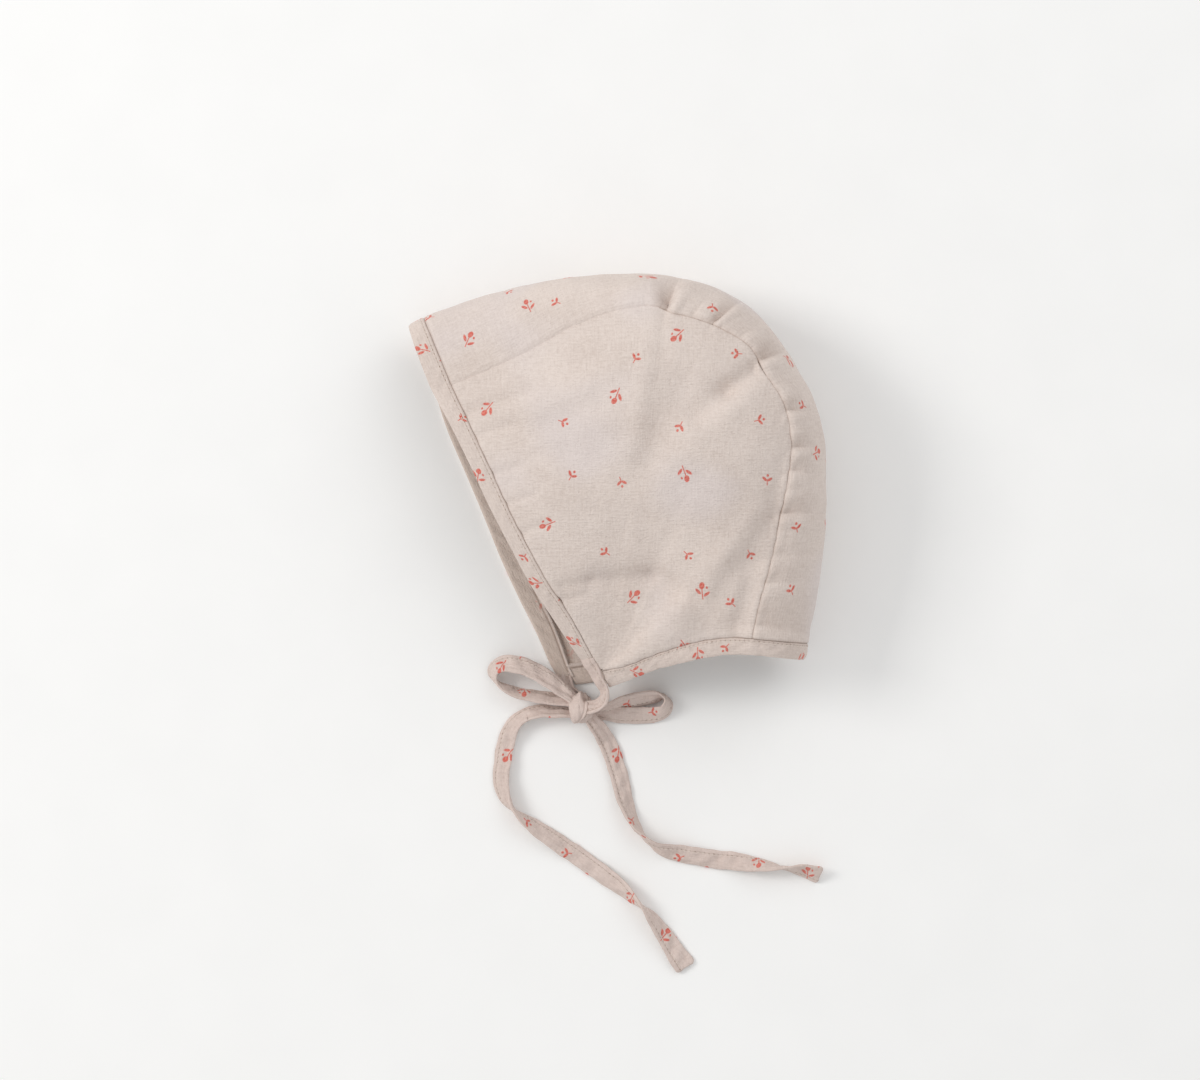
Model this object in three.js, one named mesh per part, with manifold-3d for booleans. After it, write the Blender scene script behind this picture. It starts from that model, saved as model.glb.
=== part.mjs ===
// A baby's cotton bonnet lying on its side, its ties knotted in a bow and its tails lying on the surface.
// Millimetres, +Z up. The surface is z = 0, the face opening looks along -X and the neck opening along -Y.
// The origin is under the middle of the bonnet and its ties.

import * as THREE from "three";
import { mergeVertices } from "three/addons/utils/BufferGeometryUtils.js";
import Module from "manifold-3d";

const wasm = await Module();
wasm.setup();

// Driving dimensions
const CLOTH = 1.2;            // wall of the panels
const FOLD = 1.0;             // what a turned edge adds to the wall, on its inner side
const JOINT = 0.34;           // gap left along a seam between two pieces
const TIE_WIDTH = 7.8;        // the flat width of the ties
const TIE_THICK = 1.3;        // their thickness, folded and stitched
const TIE_STEP = 3.6;         // length of one straight piece of a modelled tie
const SEATED = 0.3;           // gap between the knot and the ties that run into it
const CLEAR = 0.1;            // air between the surface and a tie that lies on it
const DOME = 13;              // how far the upper side panel stands proud of its own edges
const CORNER = 0.012;         // share of a side panel that is trimmed off at its pointed front corner
const SKIN = CLOTH / 2;       // from the middle of a wall to its outer face

// How many cells the cloth pieces are divided into
const CROWN_STEPS = 30;
const SIDE_CELLS = 12;
const FLAT_CELLS = 6;
const STRIP_CELLS = 12;
const BAND_CELLS = 2;
const STATION_GAP = 0.007;    // stations along the crown closer than this share of it are joined
const KNOT_SIDES = 16;
const KNOT_RINGS = 8;

// The crown, from the forehead (first row) over the top and the back of the head to the nape (last row).
// rim: where the strip turns over, its widest outline. seam: its upper seam with the side panel.
// The lower seam lies straight under the upper one, on the surface.
const CROWN = [
  // rimX, rimY, rimZ, seamX, seamY, seamZ
  [-80.0, 127.5, 19.0, -68.0, 99.0, 36.0],
  [-52.0, 137.0, 21.5, -42.0, 110.0, 43.0],
  [-19.5, 143.5, 24.5, -13.0, 125.0, 49.0],
  [11.5, 145.0, 26.0, 11.5, 131.0, 53.0],
  [27.5, 143.0, 26.5, 22.5, 128.0, 54.0],
  [42.0, 138.5, 27.0, 34.0, 125.0, 54.5],
  [55.0, 131.0, 27.0, 45.5, 120.0, 55.0],
  [66.0, 119.0, 27.0, 54.5, 113.5, 55.0],
  [74.5, 105.5, 27.0, 61.0, 102.5, 55.0],
  [81.5, 92.0, 27.0, 68.0, 91.0, 55.0],
  [85.5, 77.0, 27.0, 71.0, 76.0, 54.5],
  [86.0, 61.5, 27.0, 70.0, 61.0, 54.0],
  [86.0, 43.5, 26.5, 66.5, 43.5, 53.0],
  [84.5, 25.0, 26.0, 62.5, 24.0, 51.0],
  [82.0, 8.5, 25.5, 58.5, 9.5, 49.0],
  [79.0, -7.5, 25.0, 55.5, -5.0, 46.5],
];

// The upper front edge, from the chin corner up to the seam: the stitched line where the panel meets the
// binding, and the way the binding leaves it, whose length is the binding's width.
const FRONT_UPPER = [
  // x, y, z, outX, outY, outZ
  [-6.5, -19.0, 20.0, -5.5, 1.5, -4.5],
  [-11.0, -11.0, 24.0, -6.7, 0.5, -4.0],
  [-19.0, 4.0, 31.0, -7.9, -0.5, -3.5],
  [-27.5, 16.5, 36.5, -8.2, 0.5, -3.5],
  [-35.5, 31.0, 40.5, -7.9, 0.5, -3.0],
  [-44.0, 47.5, 42.5, -7.9, 0.4, -2.5],
  [-52.0, 65.0, 42.5, -7.9, 0.0, -2.0],
  [-60.5, 83.0, 40.5, -7.9, -0.8, -1.5],
  [-68.0, 99.0, 36.0, -8.5, -1.9, -1.5],
];

// The way the binding leaves the strip at the forehead, where the strip turns over
const FOREHEAD_OUT = [-6.5, -3.7, -0.5];

// The lower front edge, flat on the surface, from its chin corner up to the seam
const FRONT_LOWER = [
  // x, y, outX, outY
  [-21.0, -18.5, -6.7, 1.0],
  [-27.0, -2.0, -6.9, -1.3],
  [-33.5, 11.5, -7.2, -1.3],
  [-40.5, 28.0, -7.8, -1.3],
  [-48.0, 46.5, -8.0, -0.8],
  [-55.5, 64.0, -8.0, -0.5],
  [-63.0, 82.0, -8.0, -0.8],
  [-68.0, 99.0, -8.2, -1.7],
];

// The lower binding runs a little past its corner before the tie begins
const CHIN_LOWER = [-19.4, -22.0, -5.6, 0.3];

// The upper neck edge, from the chin corner to the nape seam, and the way the hem leaves it
const NECK_UPPER = [
  // x, y, z, outX, outY, outZ
  [-6.5, -19.0, 20.0, 3.3, -7.2, -4.5],
  [3.5, -16.8, 25.0, 2.5, -5.9, -4.0],
  [14.0, -12.5, 30.0, 2.1, -6.1, -3.2],
  [24.0, -9.0, 35.0, 1.5, -7.0, -3.0],
  [34.0, -6.3, 39.5, 0.7, -7.4, -2.6],
  [45.0, -4.8, 43.5, 0.2, -7.2, -2.5],
  [55.5, -5.0, 46.5, 0.1, -7.0, -2.5],
];

// The way the hem leaves the strip at the nape, where the strip turns over
const NAPE_OUT = [-1.8, -6.9, -0.5];

// The lower neck edge, flat on the surface, from its chin corner to the nape seam
const NECK_LOWER = [
  // x, y, outX, outY
  [-21.0, -18.5, 3.4, -7.0],
  [-10.0, -16.8, 1.2, -7.6],
  [1.5, -14.7, 1.3, -7.6],
  [14.0, -11.0, 0.8, -7.6],
  [27.0, -7.5, 0.4, -7.6],
  [42.0, -4.8, 0.0, -7.7],
  [55.5, -5.0, 0.0, -7.4],
];

// Puckers that ease the strip into the curved seams
const PUCKERS = [
  // place along the crown (0 to 1), depth, half width as a share of the crown
  [0.19, 1.2, 0.016],
  [0.27, 2.4, 0.012],
  [0.38, 1.8, 0.013],
  [0.5, 2.2, 0.013],
  [0.6, 1.6, 0.012],
  [0.68, 1.6, 0.012],
  [0.75, 1.2, 0.012],
  [0.83, 1.4, 0.016],
];

// Soft valleys in the upper side panel, each along a line from one point to another
const VALLEYS = [
  // fromX, fromY, toX, toY, depth, half width
  [60.0, 110.0, 30.0, 90.0, 2.6, 8.0],
  [20.0, 104.0, 18.0, 76.0, 1.4, 9.0],
  [62.0, 58.0, 38.0, 10.0, 3.2, 10.0],
  [-22.0, 18.0, 14.0, 22.0, 1.8, 9.0],
];

// Ties: the middle line, the height of the middle where it is held up (else 0, and it lies on the surface),
// the roll of the tie's width about its own run (0 lies flat, 90 stands on edge), and the share of the full
// width that is left where it is gathered.
const LEAD_UPPER = [
  // x, y, height, roll, gather
  [-9.3, -18.9, 17.5, 40, 0.86],
  [-7.3, -23.6, 16.8, 52, 0.88],
  [-5.8, -27.6, 15.4, 64, 0.9],
  [-5.9, -30.8, 14.0, 62, 0.88],
  [-8.4, -33.4, 12.4, 45, 0.82],
  [-12.2, -34.6, 11.0, 26, 0.7],
  [-15.6, -34.8, 9.0, 20, 0.6],
];

const LEAD_LOWER = [
  // x, y, height, roll, gather
  [-22.1, -22.7, 0, 0, 0.64],
  [-21.7, -24.4, 1.6, 4, 0.64],
  [-19.8, -26.9, 3.4, 10, 0.58],
  [-17.4, -28.9, 4.0, 14, 0.54],
  [-14.8, -32.4, 4.6, 18, 0.5],
];

const LOOP_LEFT = [
  // x, y, height, roll, gather
  [-16.5, -32.6, 9.0, 38, 0.6],
  [-22.3, -27.7, 9.8, 34, 0.85],
  [-27.8, -23.4, 10.1, 30, 1.0],
  [-34.0, -19.6, 10.0, 24, 1.0],
  [-41.2, -16.8, 9.3, 20, 1.0],
  [-47.2, -16.2, 8.0, 32, 1.0],
  [-51.2, -17.8, 6.4, 56, 1.0],
  [-52.4, -20.6, 5.4, 76, 1.0],
  [-51.0, -23.4, 4.8, 96, 1.0],
  [-47.8, -26.0, 4.6, 112, 1.0],
  [-42.4, -28.5, 4.5, 121, 1.0],
  [-36.3, -30.1, 4.5, 122, 1.0],
  [-28.5, -31.4, 4.7, 119, 0.9],
  [-21.5, -32.6, 5.2, 112, 0.72],
  [-15.8, -33.4, 5.6, 108, 0.6],
];

const LOOP_RIGHT = [
  // x, y, height, roll, gather
  [-14.6, -33.8, 6.6, 62, 0.6],
  [-9.0, -33.2, 6.2, 64, 0.68],
  [-2.4, -32.3, 5.4, 58, 0.86],
  [4.0, -30.8, 4.6, 50, 1.0],
  [10.0, -30.0, 4.2, 48, 1.0],
  [15.8, -30.0, 4.2, 58, 1.0],
  [20.2, -31.4, 4.4, 74, 1.0],
  [21.9, -34.4, 4.5, 92, 1.0],
  [19.9, -37.0, 3.9, 120, 1.0],
  [14.9, -37.9, 2.9, 146, 1.0],
  [8.1, -38.2, 2.4, 156, 1.0],
  [1.4, -38.1, 2.2, 158, 0.95],
  [-5.3, -37.4, 2.3, 160, 0.8],
  [-11.4, -36.8, 2.6, 160, 0.62],
  [-15.4, -36.2, 3.0, 160, 0.55],
];

const TAIL_LEFT = [
  // x, y, height, roll, gather
  [-14.4, -36.6, 4.2, 50, 0.6],
  [-19.6, -37.0, 4.0, 50, 0.74],
  [-25.0, -36.9, 3.9, 50, 0.88],
  [-31.0, -36.4, 3.9, 50, 1.0],
  [-36.5, -37.4, 3.9, 50, 1.0],
  [-41.2, -40.0, 0, 44, 1.0],
  [-44.6, -44.4, 0, 32, 1.0],
  [-46.4, -50.0, 0, 18, 1.0],
  [-47.8, -58.0, 0, 24, 1.0],
  [-48.5, -65.0, 0, 30, 1.0],
  [-47.4, -71.2, 0, 48, 1.0],
  [-45.0, -76.0, 0, 74, 1.0],
  [-41.6, -79.6, 0, 100, 1.0],
  [-37.4, -82.8, 0, 126, 1.0],
  [-31.6, -87.0, 0, 148, 1.0],
  [-24.8, -91.6, 0, 166, 1.0],
  [-17.0, -97.0, 0, 178, 1.0],
  [-9.0, -102.6, 0, 186, 1.0],
  [-1.6, -107.9, 0, 202, 1.0],
  [4.6, -112.8, 0, 228, 1.0],
  [10.0, -117.8, 0, 264, 1.0],
  [14.2, -122.4, 0, 300, 1.0],
  [18.2, -127.8, 0, 322, 1.0],
  [22.3, -134.0, 0, 340, 1.0],
  [29.2, -144.3, 0, 356, 1.0],
];

const TAIL_RIGHT = [
  // x, y, height, roll, gather
  [-14.0, -36.2, 8.2, -12, 0.6],
  [-10.2, -40.2, 6.9, -16, 0.76],
  [-6.6, -45.2, 4.4, -18, 0.94],
  [-2.8, -52.0, 0, -14, 1.0],
  [0.0, -60.0, 0, -14, 1.0],
  [2.0, -67.5, 0, -20, 1.0],
  [4.0, -75.0, 0, -36, 1.0],
  [6.5, -81.4, 0, -56, 1.0],
  [9.8, -86.8, 0, -76, 1.0],
  [13.6, -90.9, 0, -98, 1.0],
  [17.9, -93.8, 0, -124, 1.0],
  [23.6, -95.6, 0, -150, 1.0],
  [32.0, -97.2, 0, -168, 1.0],
  [41.4, -98.7, 0, -178, 1.0],
  [51.0, -99.8, 0, -198, 1.0],
  [58.8, -100.8, 0, -226, 1.0],
  [66.2, -101.7, 0, -254, 1.0],
  [72.2, -102.4, 0, -282, 1.0],
  [78.0, -103.3, 0, -300, 1.0],
  [85.6, -105.3, 0, -308, 1.0],
];

// The knot: a short barrel wrapped across the bow
const KNOT = { x: -15.4, y: -35.0, z: 6.5, halfLength: 4.2, halfBreadth: 6.8, halfHeight: 6.2, turn: 8 };
const KNOT_FULLNESS = 0.6;    // below 1 fills the barrel out towards its ends

// Materials

const cotton = (colour, roughness = 0.92) => new THREE.MeshStandardMaterial({
  color: colour, roughness, metalness: 0, side: THREE.DoubleSide,
});

const PANEL_COTTON = cotton(0xdcd0c6);
const STRIP_COTTON = cotton(0xdacdc3);
const BAND_COTTON = cotton(0xd6c8bd);
const TIE_COTTON = cotton(0xd8cac0, 0.9);

// Small helpers

// A smooth value of every column of a table, at a place from 0 (first row) to 1 (last row)
function along(rows, place) {
  const at = Math.min(Math.max(place, 0), 1) * (rows.length - 1);
  const i = Math.min(Math.floor(at), rows.length - 2);
  const f = at - i;
  const row = (k) => rows[Math.min(Math.max(k, 0), rows.length - 1)];
  return rows[i].map((_, c) => {
    const [a, b, d, e] = [row(i - 1)[c], row(i)[c], row(i + 1)[c], row(i + 2)[c]];
    const rise = (d - a) / 2;
    const fall = (e - b) / 2;
    return b + f * (rise + f * (3 * (d - b) - 2 * rise - fall + f * (2 * (b - d) + rise + fall)));
  });
}

const evenly = (cells, from = 0, to = 1) =>
  Array.from({ length: cells + 1 }, (_, i) => from + (to - from) * (i / cells));

const vec = (x, y, z) => new THREE.Vector3(x, y, z);

const mix = (a, b, f) => a.clone().lerp(b, f);

const closed = (positions, triangles) => {
  const geometry = new THREE.BufferGeometry();
  geometry.setAttribute("position", new THREE.Float32BufferAttribute(positions.flatMap((p) => p.toArray()), 3));
  geometry.setIndex(triangles.flat());
  return geometry;
};

// Stations along the crown: evenly spaced, with more at the puckers
const STATIONS = [
  ...evenly(CROWN_STEPS),
  ...PUCKERS.flatMap(([place, , half]) => [place - half, place, place + half]),
]
  .sort((a, b) => a - b)
  .filter((s, i, all) => i === 0 || s === 1 || (s - all[i - 1] > STATION_GAP && 1 - s > STATION_GAP));

// Edges of the panels

const seamAt = (s) => vec(...along(CROWN, s).slice(3, 6));

const flatSeamAt = (s) => seamAt(s).setZ(SKIN);

const edgeOf = (rows) => (r) => {
  const [x, y, z, outX, outY, outZ] = along(rows, r);
  return { at: vec(x, y, z), out: vec(outX, outY, outZ) };
};

const flatEdgeOf = (rows) => (r) => {
  const [x, y, outX, outY] = along(rows, r);
  return { at: vec(x, y, SKIN), out: vec(outX, outY, 0) };
};

const frontUpper = edgeOf(FRONT_UPPER);
const neckUpper = edgeOf(NECK_UPPER);
const frontLower = flatEdgeOf(FRONT_LOWER);
const neckLower = flatEdgeOf(NECK_LOWER);

// Surfaces of the cloth pieces: the middle of each wall

// A side panel spreads like a fan from its chin corner (r = 0) to the seam (r = 1), and from its front edge
// (s = 0) to its neck edge (s = 1). The fan's share is how far the ray to a place on the seam has swung.
function fanShare(front, seam, s) {
  const chinCorner = front(0).at;
  const ray = (place) => seam(place).sub(chinCorner).setZ(0);
  return ray(s).angleTo(ray(0)) / ray(1).angleTo(ray(0));
}

function sidePoint(front, neck, seam, s, r) {
  const share = fanShare(front, seam, s);
  const straight = mix(seam(0), seam(1), share);
  return mix(front(r).at, neck(r).at, share).addScaledVector(seam(s).sub(straight), r);
}

function valleyDepth(x, y) {
  let depth = 0;
  for (const [fromX, fromY, toX, toY, deep, half] of VALLEYS) {
    const run = vec(toX - fromX, toY - fromY, 0);
    const here = vec(x - fromX, y - fromY, 0);
    const share = Math.min(Math.max(here.dot(run) / run.lengthSq(), 0), 1);
    depth += deep * Math.exp(-here.addScaledVector(run, -share).lengthSq() / half ** 2);
  }
  return depth;
}

function upperSide(s, r) {
  const point = sidePoint(frontUpper, neckUpper, seamAt, s, r);
  const inside = Math.sin(Math.PI * fanShare(frontUpper, seamAt, s)) * Math.sin(Math.PI * r ** 1.5);
  point.z += inside * (DOME - valleyDepth(point.x, point.y));
  return point;
}

const lowerSide = (s, r) => sidePoint(frontLower, neckLower, flatSeamAt, s, r);

// The strip turns over from the upper seam (turn = 0) round the rim to the lower seam (turn = 1)
function stripPoint(s, turn) {
  const [rimX, rimY, rimZ, seamX, seamY, seamZ] = along(CROWN, s);
  const angle = Math.PI * turn;
  const rise = angle < Math.PI / 2 ? seamZ - rimZ : rimZ - SKIN;
  const point = vec(seamX, seamY, rimZ + rise * Math.cos(angle));
  const outward = vec(rimX - seamX, rimY - seamY, 0);
  point.addScaledVector(outward, Math.sin(angle));
  const inward = outward.clone().negate().setLength(Math.sin(angle)).add(vec(0, 0, -Math.cos(angle)));
  const fade = Math.sin(2 * angle) ** 2 * (1 - turn);
  for (const [place, depth, half] of PUCKERS) {
    point.addScaledVector(inward, depth * fade * Math.exp(-(((s - place) / half) ** 2)));
  }
  return point;
}

// Walls: a grid of points and a grid of the directions that face out of the bonnet

function wall(rows, facing = 1) {
  const last = rows.length - 1;
  const end = rows[0].length - 1;
  const out = rows.map((row, i) => row.map((_, j) => {
    const down = rows[Math.min(i + 1, last)][j].clone().sub(rows[Math.max(i - 1, 0)][j]);
    const across = row[Math.min(j + 1, end)].clone().sub(row[Math.max(j - 1, 0)]);
    return down.cross(across).multiplyScalar(facing).normalize();
  }));
  return { rows, out };
}

// Two walls that meet along an edge face the same way there, so that their edges stay parallel
function meet(outA, outB) {
  outA.forEach((a, i) => {
    a.add(outB[i]).normalize();
    outB[i].copy(a);
  });
}

// Draws every edge of a wall back by half a seam's gap
function drawBack({ rows }) {
  const pull = (edge, inner) => edge.map((p, i) => inner[i].clone().sub(p).setLength(JOINT / 2));
  const column = (j) => rows.map((row) => row[j]);
  const end = rows[0].length - 1;
  const last = rows.length - 1;
  const pairs = [
    [rows[0], rows[1]], [rows[last], rows[last - 1]],
    [column(0), column(1)], [column(end), column(end - 1)],
  ];
  const pulls = pairs.map(([edge, inner]) => pull(edge, inner));
  pairs.forEach(([edge], k) => edge.forEach((p, i) => p.add(pulls[k][i])));
}

// The closed solid of a wall, with its outer and inner faces at their own distances from the grid
function solidWall({ rows, out }, outer, inner) {
  const width = rows[0].length;
  const points = [];
  for (const side of [outer, -inner]) {
    rows.forEach((row, i) => row.forEach((p, j) => points.push(p.clone().addScaledVector(out[i][j], side))));
  }
  const back = rows.length * width;
  const triangles = [];
  const quad = (a, b, c, d) => triangles.push([a, b, c], [a, c, d]);
  for (let i = 0; i < rows.length - 1; i += 1) {
    for (let j = 0; j < width - 1; j += 1) {
      const a = i * width + j;
      quad(a, a + width, a + width + 1, a + 1);
      quad(back + a, back + a + 1, back + a + width + 1, back + a + width);
    }
    const left = i * width;
    const right = left + width - 1;
    quad(left, back + left, back + left + width, left + width);
    quad(right, right + width, back + right + width, back + right);
  }
  for (let j = 0; j < width - 1; j += 1) {
    const bottom = (rows.length - 1) * width + j;
    quad(j, j + 1, back + j + 1, back + j);
    quad(bottom, back + bottom, back + bottom + 1, bottom + 1);
  }
  return facingOut(points, triangles);
}

// Turns the triangles over where they enclose their volume inside out
function facingOut(points, triangles) {
  const volume = triangles.reduce(
    (sum, [a, b, c]) => sum + points[a].dot(points[b].clone().cross(points[c])), 0,
  );
  return closed(points, volume < 0 ? triangles.map(([a, b, c]) => [a, c, b]) : triangles);
}

// The five cloth walls

const fanShares = (cells) => [CORNER, ...evenly(cells).slice(1)];
const SIDE_SHARES = fanShares(SIDE_CELLS);
const FLAT_SHARES = fanShares(FLAT_CELLS);
const TURNS = evenly(STRIP_CELLS);

const upperPanel = wall(SIDE_SHARES.map((r) => STATIONS.map((s) => upperSide(s, r))), -1);
const lowerPanel = wall(FLAT_SHARES.map((r) => STATIONS.map((s) => lowerSide(s, r))), 1);
const strip = wall(STATIONS.map((s) => TURNS.map((turn) => stripPoint(s, turn))), 1);

// A band follows an edge of the upper panel, an end of the strip and the same edge of the lower panel
function band(upperEdge, turnOut, stripEnd, lowerEdge, facing, extra = []) {
  const over = TURNS.slice(1, -1).map((turn) => {
    const side = turn < 0.5 ? upperEdge(1).out : lowerEdge(1).out;
    const swing = Math.sin(Math.PI * turn) ** 2;
    return { at: stripPoint(stripEnd, turn), out: mix(side, vec(...turnOut), swing) };
  });
  const path = [
    ...SIDE_SHARES.map(upperEdge), ...over, ...FLAT_SHARES.toReversed().map(lowerEdge), ...extra,
  ];
  const rows = path.map(({ at, out }) =>
    evenly(BAND_CELLS).map((share) => at.clone().addScaledVector(out, share)));
  return wall(rows, facing);
}

const chin = { at: vec(CHIN_LOWER[0], CHIN_LOWER[1], SKIN), out: vec(CHIN_LOWER[2], CHIN_LOWER[3], 0) };
const binding = band(frontUpper, FOREHEAD_OUT, 0, frontLower, 1, [chin]);
const hem = band(neckUpper, NAPE_OUT, 1, neckLower, -1);

const columnOf = (grid, j) => grid.map((row) => row.at(j));

function joinSeams() {
  const over = STRIP_CELLS + SIDE_CELLS;
  const inner = (piece) => columnOf(piece.out, 0);
  meet(upperPanel.out.at(-1), columnOf(strip.out, 0));
  meet(lowerPanel.out.at(-1), columnOf(strip.out, -1));
  for (const [piece, side, stripRow] of [[binding, 0, 0], [hem, -1, -1]]) {
    meet(columnOf(upperPanel.out, side), inner(piece).slice(0, SIDE_CELLS + 1));
    meet(strip.out.at(stripRow).slice(1, -1), inner(piece).slice(SIDE_CELLS + 1, over));
    meet(columnOf(lowerPanel.out, side).toReversed(), inner(piece).slice(over, over + FLAT_CELLS + 1));
  }
}

joinSeams();
[upperPanel, lowerPanel, strip, binding, hem].forEach(drawBack);

// Solids for cutting

function toSolid(geometry) {
  const bare = geometry.clone();
  for (const name of Object.keys(bare.attributes)) {
    if (name !== "position") {
      bare.deleteAttribute(name);
    }
  }
  const merged = mergeVertices(bare, 1e-4);
  return new wasm.Manifold(new wasm.Mesh({
    numProp: 3,
    vertProperties: new Float32Array(merged.attributes.position.array),
    triVerts: new Uint32Array(merged.index.array),
  }));
}

function fromSolid(solid) {
  const { numProp, vertProperties, triVerts } = solid.getMesh();
  const geometry = new THREE.BufferGeometry();
  const positions = new Float32Array((vertProperties.length / numProp) * 3);
  for (let i = 0; i < positions.length / 3; i += 1) {
    positions.set(vertProperties.subarray(i * numProp, i * numProp + 3), i * 3);
  }
  geometry.setAttribute("position", new THREE.BufferAttribute(positions, 3));
  geometry.setIndex(Array.from(triVerts));
  return geometry;
}

// The knot

function knotBody(grow = 0) {
  const profile = evenly(KNOT_RINGS).map((f) => {
    const angle = Math.PI * (f - 0.5);
    const radius = Math.max(Math.cos(angle), 0) ** KNOT_FULLNESS;
    return new THREE.Vector2(f === 0 || f === 1 ? 0 : radius, Math.sin(angle));
  });
  return new THREE.LatheGeometry(profile, KNOT_SIDES)
    .rotateZ(-Math.PI / 2)
    .scale(KNOT.halfLength + grow, KNOT.halfBreadth + grow, KNOT.halfHeight + grow)
    .rotateZ(THREE.MathUtils.degToRad(KNOT.turn))
    .translate(KNOT.x, KNOT.y, KNOT.z);
}

// The ties

// A flat tie along a table's rows, as a row of four-cornered sections
function tieBody(rows) {
  const up = vec(0, 0, 1);
  const middle = (f) => {
    const [x, y, height, roll, gather] = along(rows, f);
    const angle = THREE.MathUtils.degToRad(roll);
    const width = TIE_WIDTH * gather;
    const resting = (width * Math.abs(Math.sin(angle)) + TIE_THICK * Math.abs(Math.cos(angle))) / 2 + CLEAR;
    return { at: vec(x, y, Math.max(height, resting)), angle, width };
  };
  const fine = evenly(200).map((f) => middle(f).at);
  const length = fine.slice(1).reduce((sum, p, i) => sum + p.distanceTo(fine[i]), 0);
  const steps = Math.round(length / TIE_STEP);
  const points = [];
  const triangles = [];
  evenly(steps).forEach((f, i) => {
    const { at, angle, width } = middle(f);
    const run = middle(Math.min(f + 0.004, 1)).at.sub(middle(Math.max(f - 0.004, 0)).at).normalize();
    const level = up.clone().cross(run).normalize();
    const wide = level.multiplyScalar(Math.cos(angle)).addScaledVector(up, Math.sin(angle));
    wide.addScaledVector(run, -wide.dot(run)).setLength(width / 2);
    const thick = run.clone().cross(wide).setLength(TIE_THICK / 2);
    for (const [a, b] of [[1, 1], [-1, 1], [-1, -1], [1, -1]]) {
      points.push(at.clone().addScaledVector(wide, a).addScaledVector(thick, b));
    }
    if (i > 0) {
      for (let k = 0; k < 4; k += 1) {
        const [a, b] = [4 * (i - 1) + k, 4 * (i - 1) + ((k + 1) % 4)];
        triangles.push([a, b, b + 4], [a, b + 4, a + 4]);
      }
    }
  });
  const end = 4 * steps;
  triangles.push([0, 2, 1], [0, 3, 2], [end, end + 1, end + 2], [end, end + 2, end + 3]);
  return facingOut(points, triangles);
}

const knotRoom = toSolid(knotBody(SEATED));

const tieToKnot = (rows) => fromSolid(toSolid(tieBody(rows)).subtract(knotRoom));

// The bonnet

function piece(name, geometry, material) {
  const mesh = new THREE.Mesh(geometry, material);
  mesh.name = name;
  return mesh;
}

const bonnet = new THREE.Group();

const cloth = new THREE.Group();
cloth.add(
  piece("side_panel_upper", solidWall(upperPanel, SKIN, SKIN), PANEL_COTTON),
  piece("side_panel_lower", solidWall(lowerPanel, SKIN, SKIN), PANEL_COTTON),
  piece("centre_panel", solidWall(strip, SKIN, SKIN), STRIP_COTTON),
  piece("front_binding", solidWall(binding, SKIN, SKIN + FOLD), BAND_COTTON),
  piece("nape_hem", solidWall(hem, SKIN, SKIN + FOLD), BAND_COTTON),
);

const ties = new THREE.Group();
ties.add(
  piece("bow_knot", knotBody(), TIE_COTTON),
  piece("tie_lead_upper", tieToKnot(LEAD_UPPER), TIE_COTTON),
  piece("tie_lead_lower", tieToKnot(LEAD_LOWER), TIE_COTTON),
  piece("bow_loop_left", tieToKnot(LOOP_LEFT), TIE_COTTON),
  piece("bow_loop_right", tieToKnot(LOOP_RIGHT), TIE_COTTON),
  piece("tie_tail_left", tieToKnot(TAIL_LEFT), TIE_COTTON),
  piece("tie_tail_right", tieToKnot(TAIL_RIGHT), TIE_COTTON),
);

bonnet.add(cloth, ties);

export default bonnet;
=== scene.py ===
"""A baby's cotton bonnet lying on its side, its ties knotted in a bow: cloth, stitches, print and studio."""

import math

import bpy
import numpy as np
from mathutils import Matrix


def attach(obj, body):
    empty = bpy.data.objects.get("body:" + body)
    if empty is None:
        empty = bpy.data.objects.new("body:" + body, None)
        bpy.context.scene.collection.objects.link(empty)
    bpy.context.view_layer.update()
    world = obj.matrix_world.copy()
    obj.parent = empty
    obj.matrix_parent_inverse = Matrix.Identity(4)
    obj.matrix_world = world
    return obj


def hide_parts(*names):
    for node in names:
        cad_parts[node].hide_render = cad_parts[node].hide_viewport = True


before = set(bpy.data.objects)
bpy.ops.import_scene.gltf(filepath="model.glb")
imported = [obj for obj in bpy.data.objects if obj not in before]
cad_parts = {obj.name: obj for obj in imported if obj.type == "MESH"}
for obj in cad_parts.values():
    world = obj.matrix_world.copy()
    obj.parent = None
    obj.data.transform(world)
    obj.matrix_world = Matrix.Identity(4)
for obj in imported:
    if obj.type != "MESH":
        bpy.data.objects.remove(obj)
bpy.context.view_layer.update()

# Driving sizes, in millimetres as in the part's source. Meshes are written in metres.
MM = 0.001
CLOTH = 1.2               # wall of the panels
SKIN = CLOTH / 2          # from the middle of a wall to its outer face
FOLD = 1.0                # what a turned edge adds to the wall, on its inner side
TIE_WIDTH = 7.8
TIE_THICK = 1.3
TIE_SEAM = 1.75           # from a tie's stitched edge to its row of stitches
BAND_ROW = 2.0            # from the binding's inner edge to its row of stitches
HEM_ROW = 1.4             # the same for the hem
CLEAR = 0.1               # air between the surface and a tie that lies on it
DOME = 13                 # how far the upper side panel stands proud of its own edges
CORNER = 0.012            # share of a side panel that is trimmed off at its pointed front corner
STITCH_PITCH = 2.0        # from one stitch to the next
STITCH_LENGTH = 1.5
THREAD = 0.3              # thickness of the sewing thread

# The photograph was taken from straight above
PHOTO_WIDTH = 1200        # in pixels
MM_PER_PIXEL = 0.42       # on the surface
EYE = (-6.93, 35.28, 2000.0)
SENSOR = 36.0             # width of the camera's sensor
CAMERA_REACH = 20         # how far the camera sees, in metres

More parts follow.
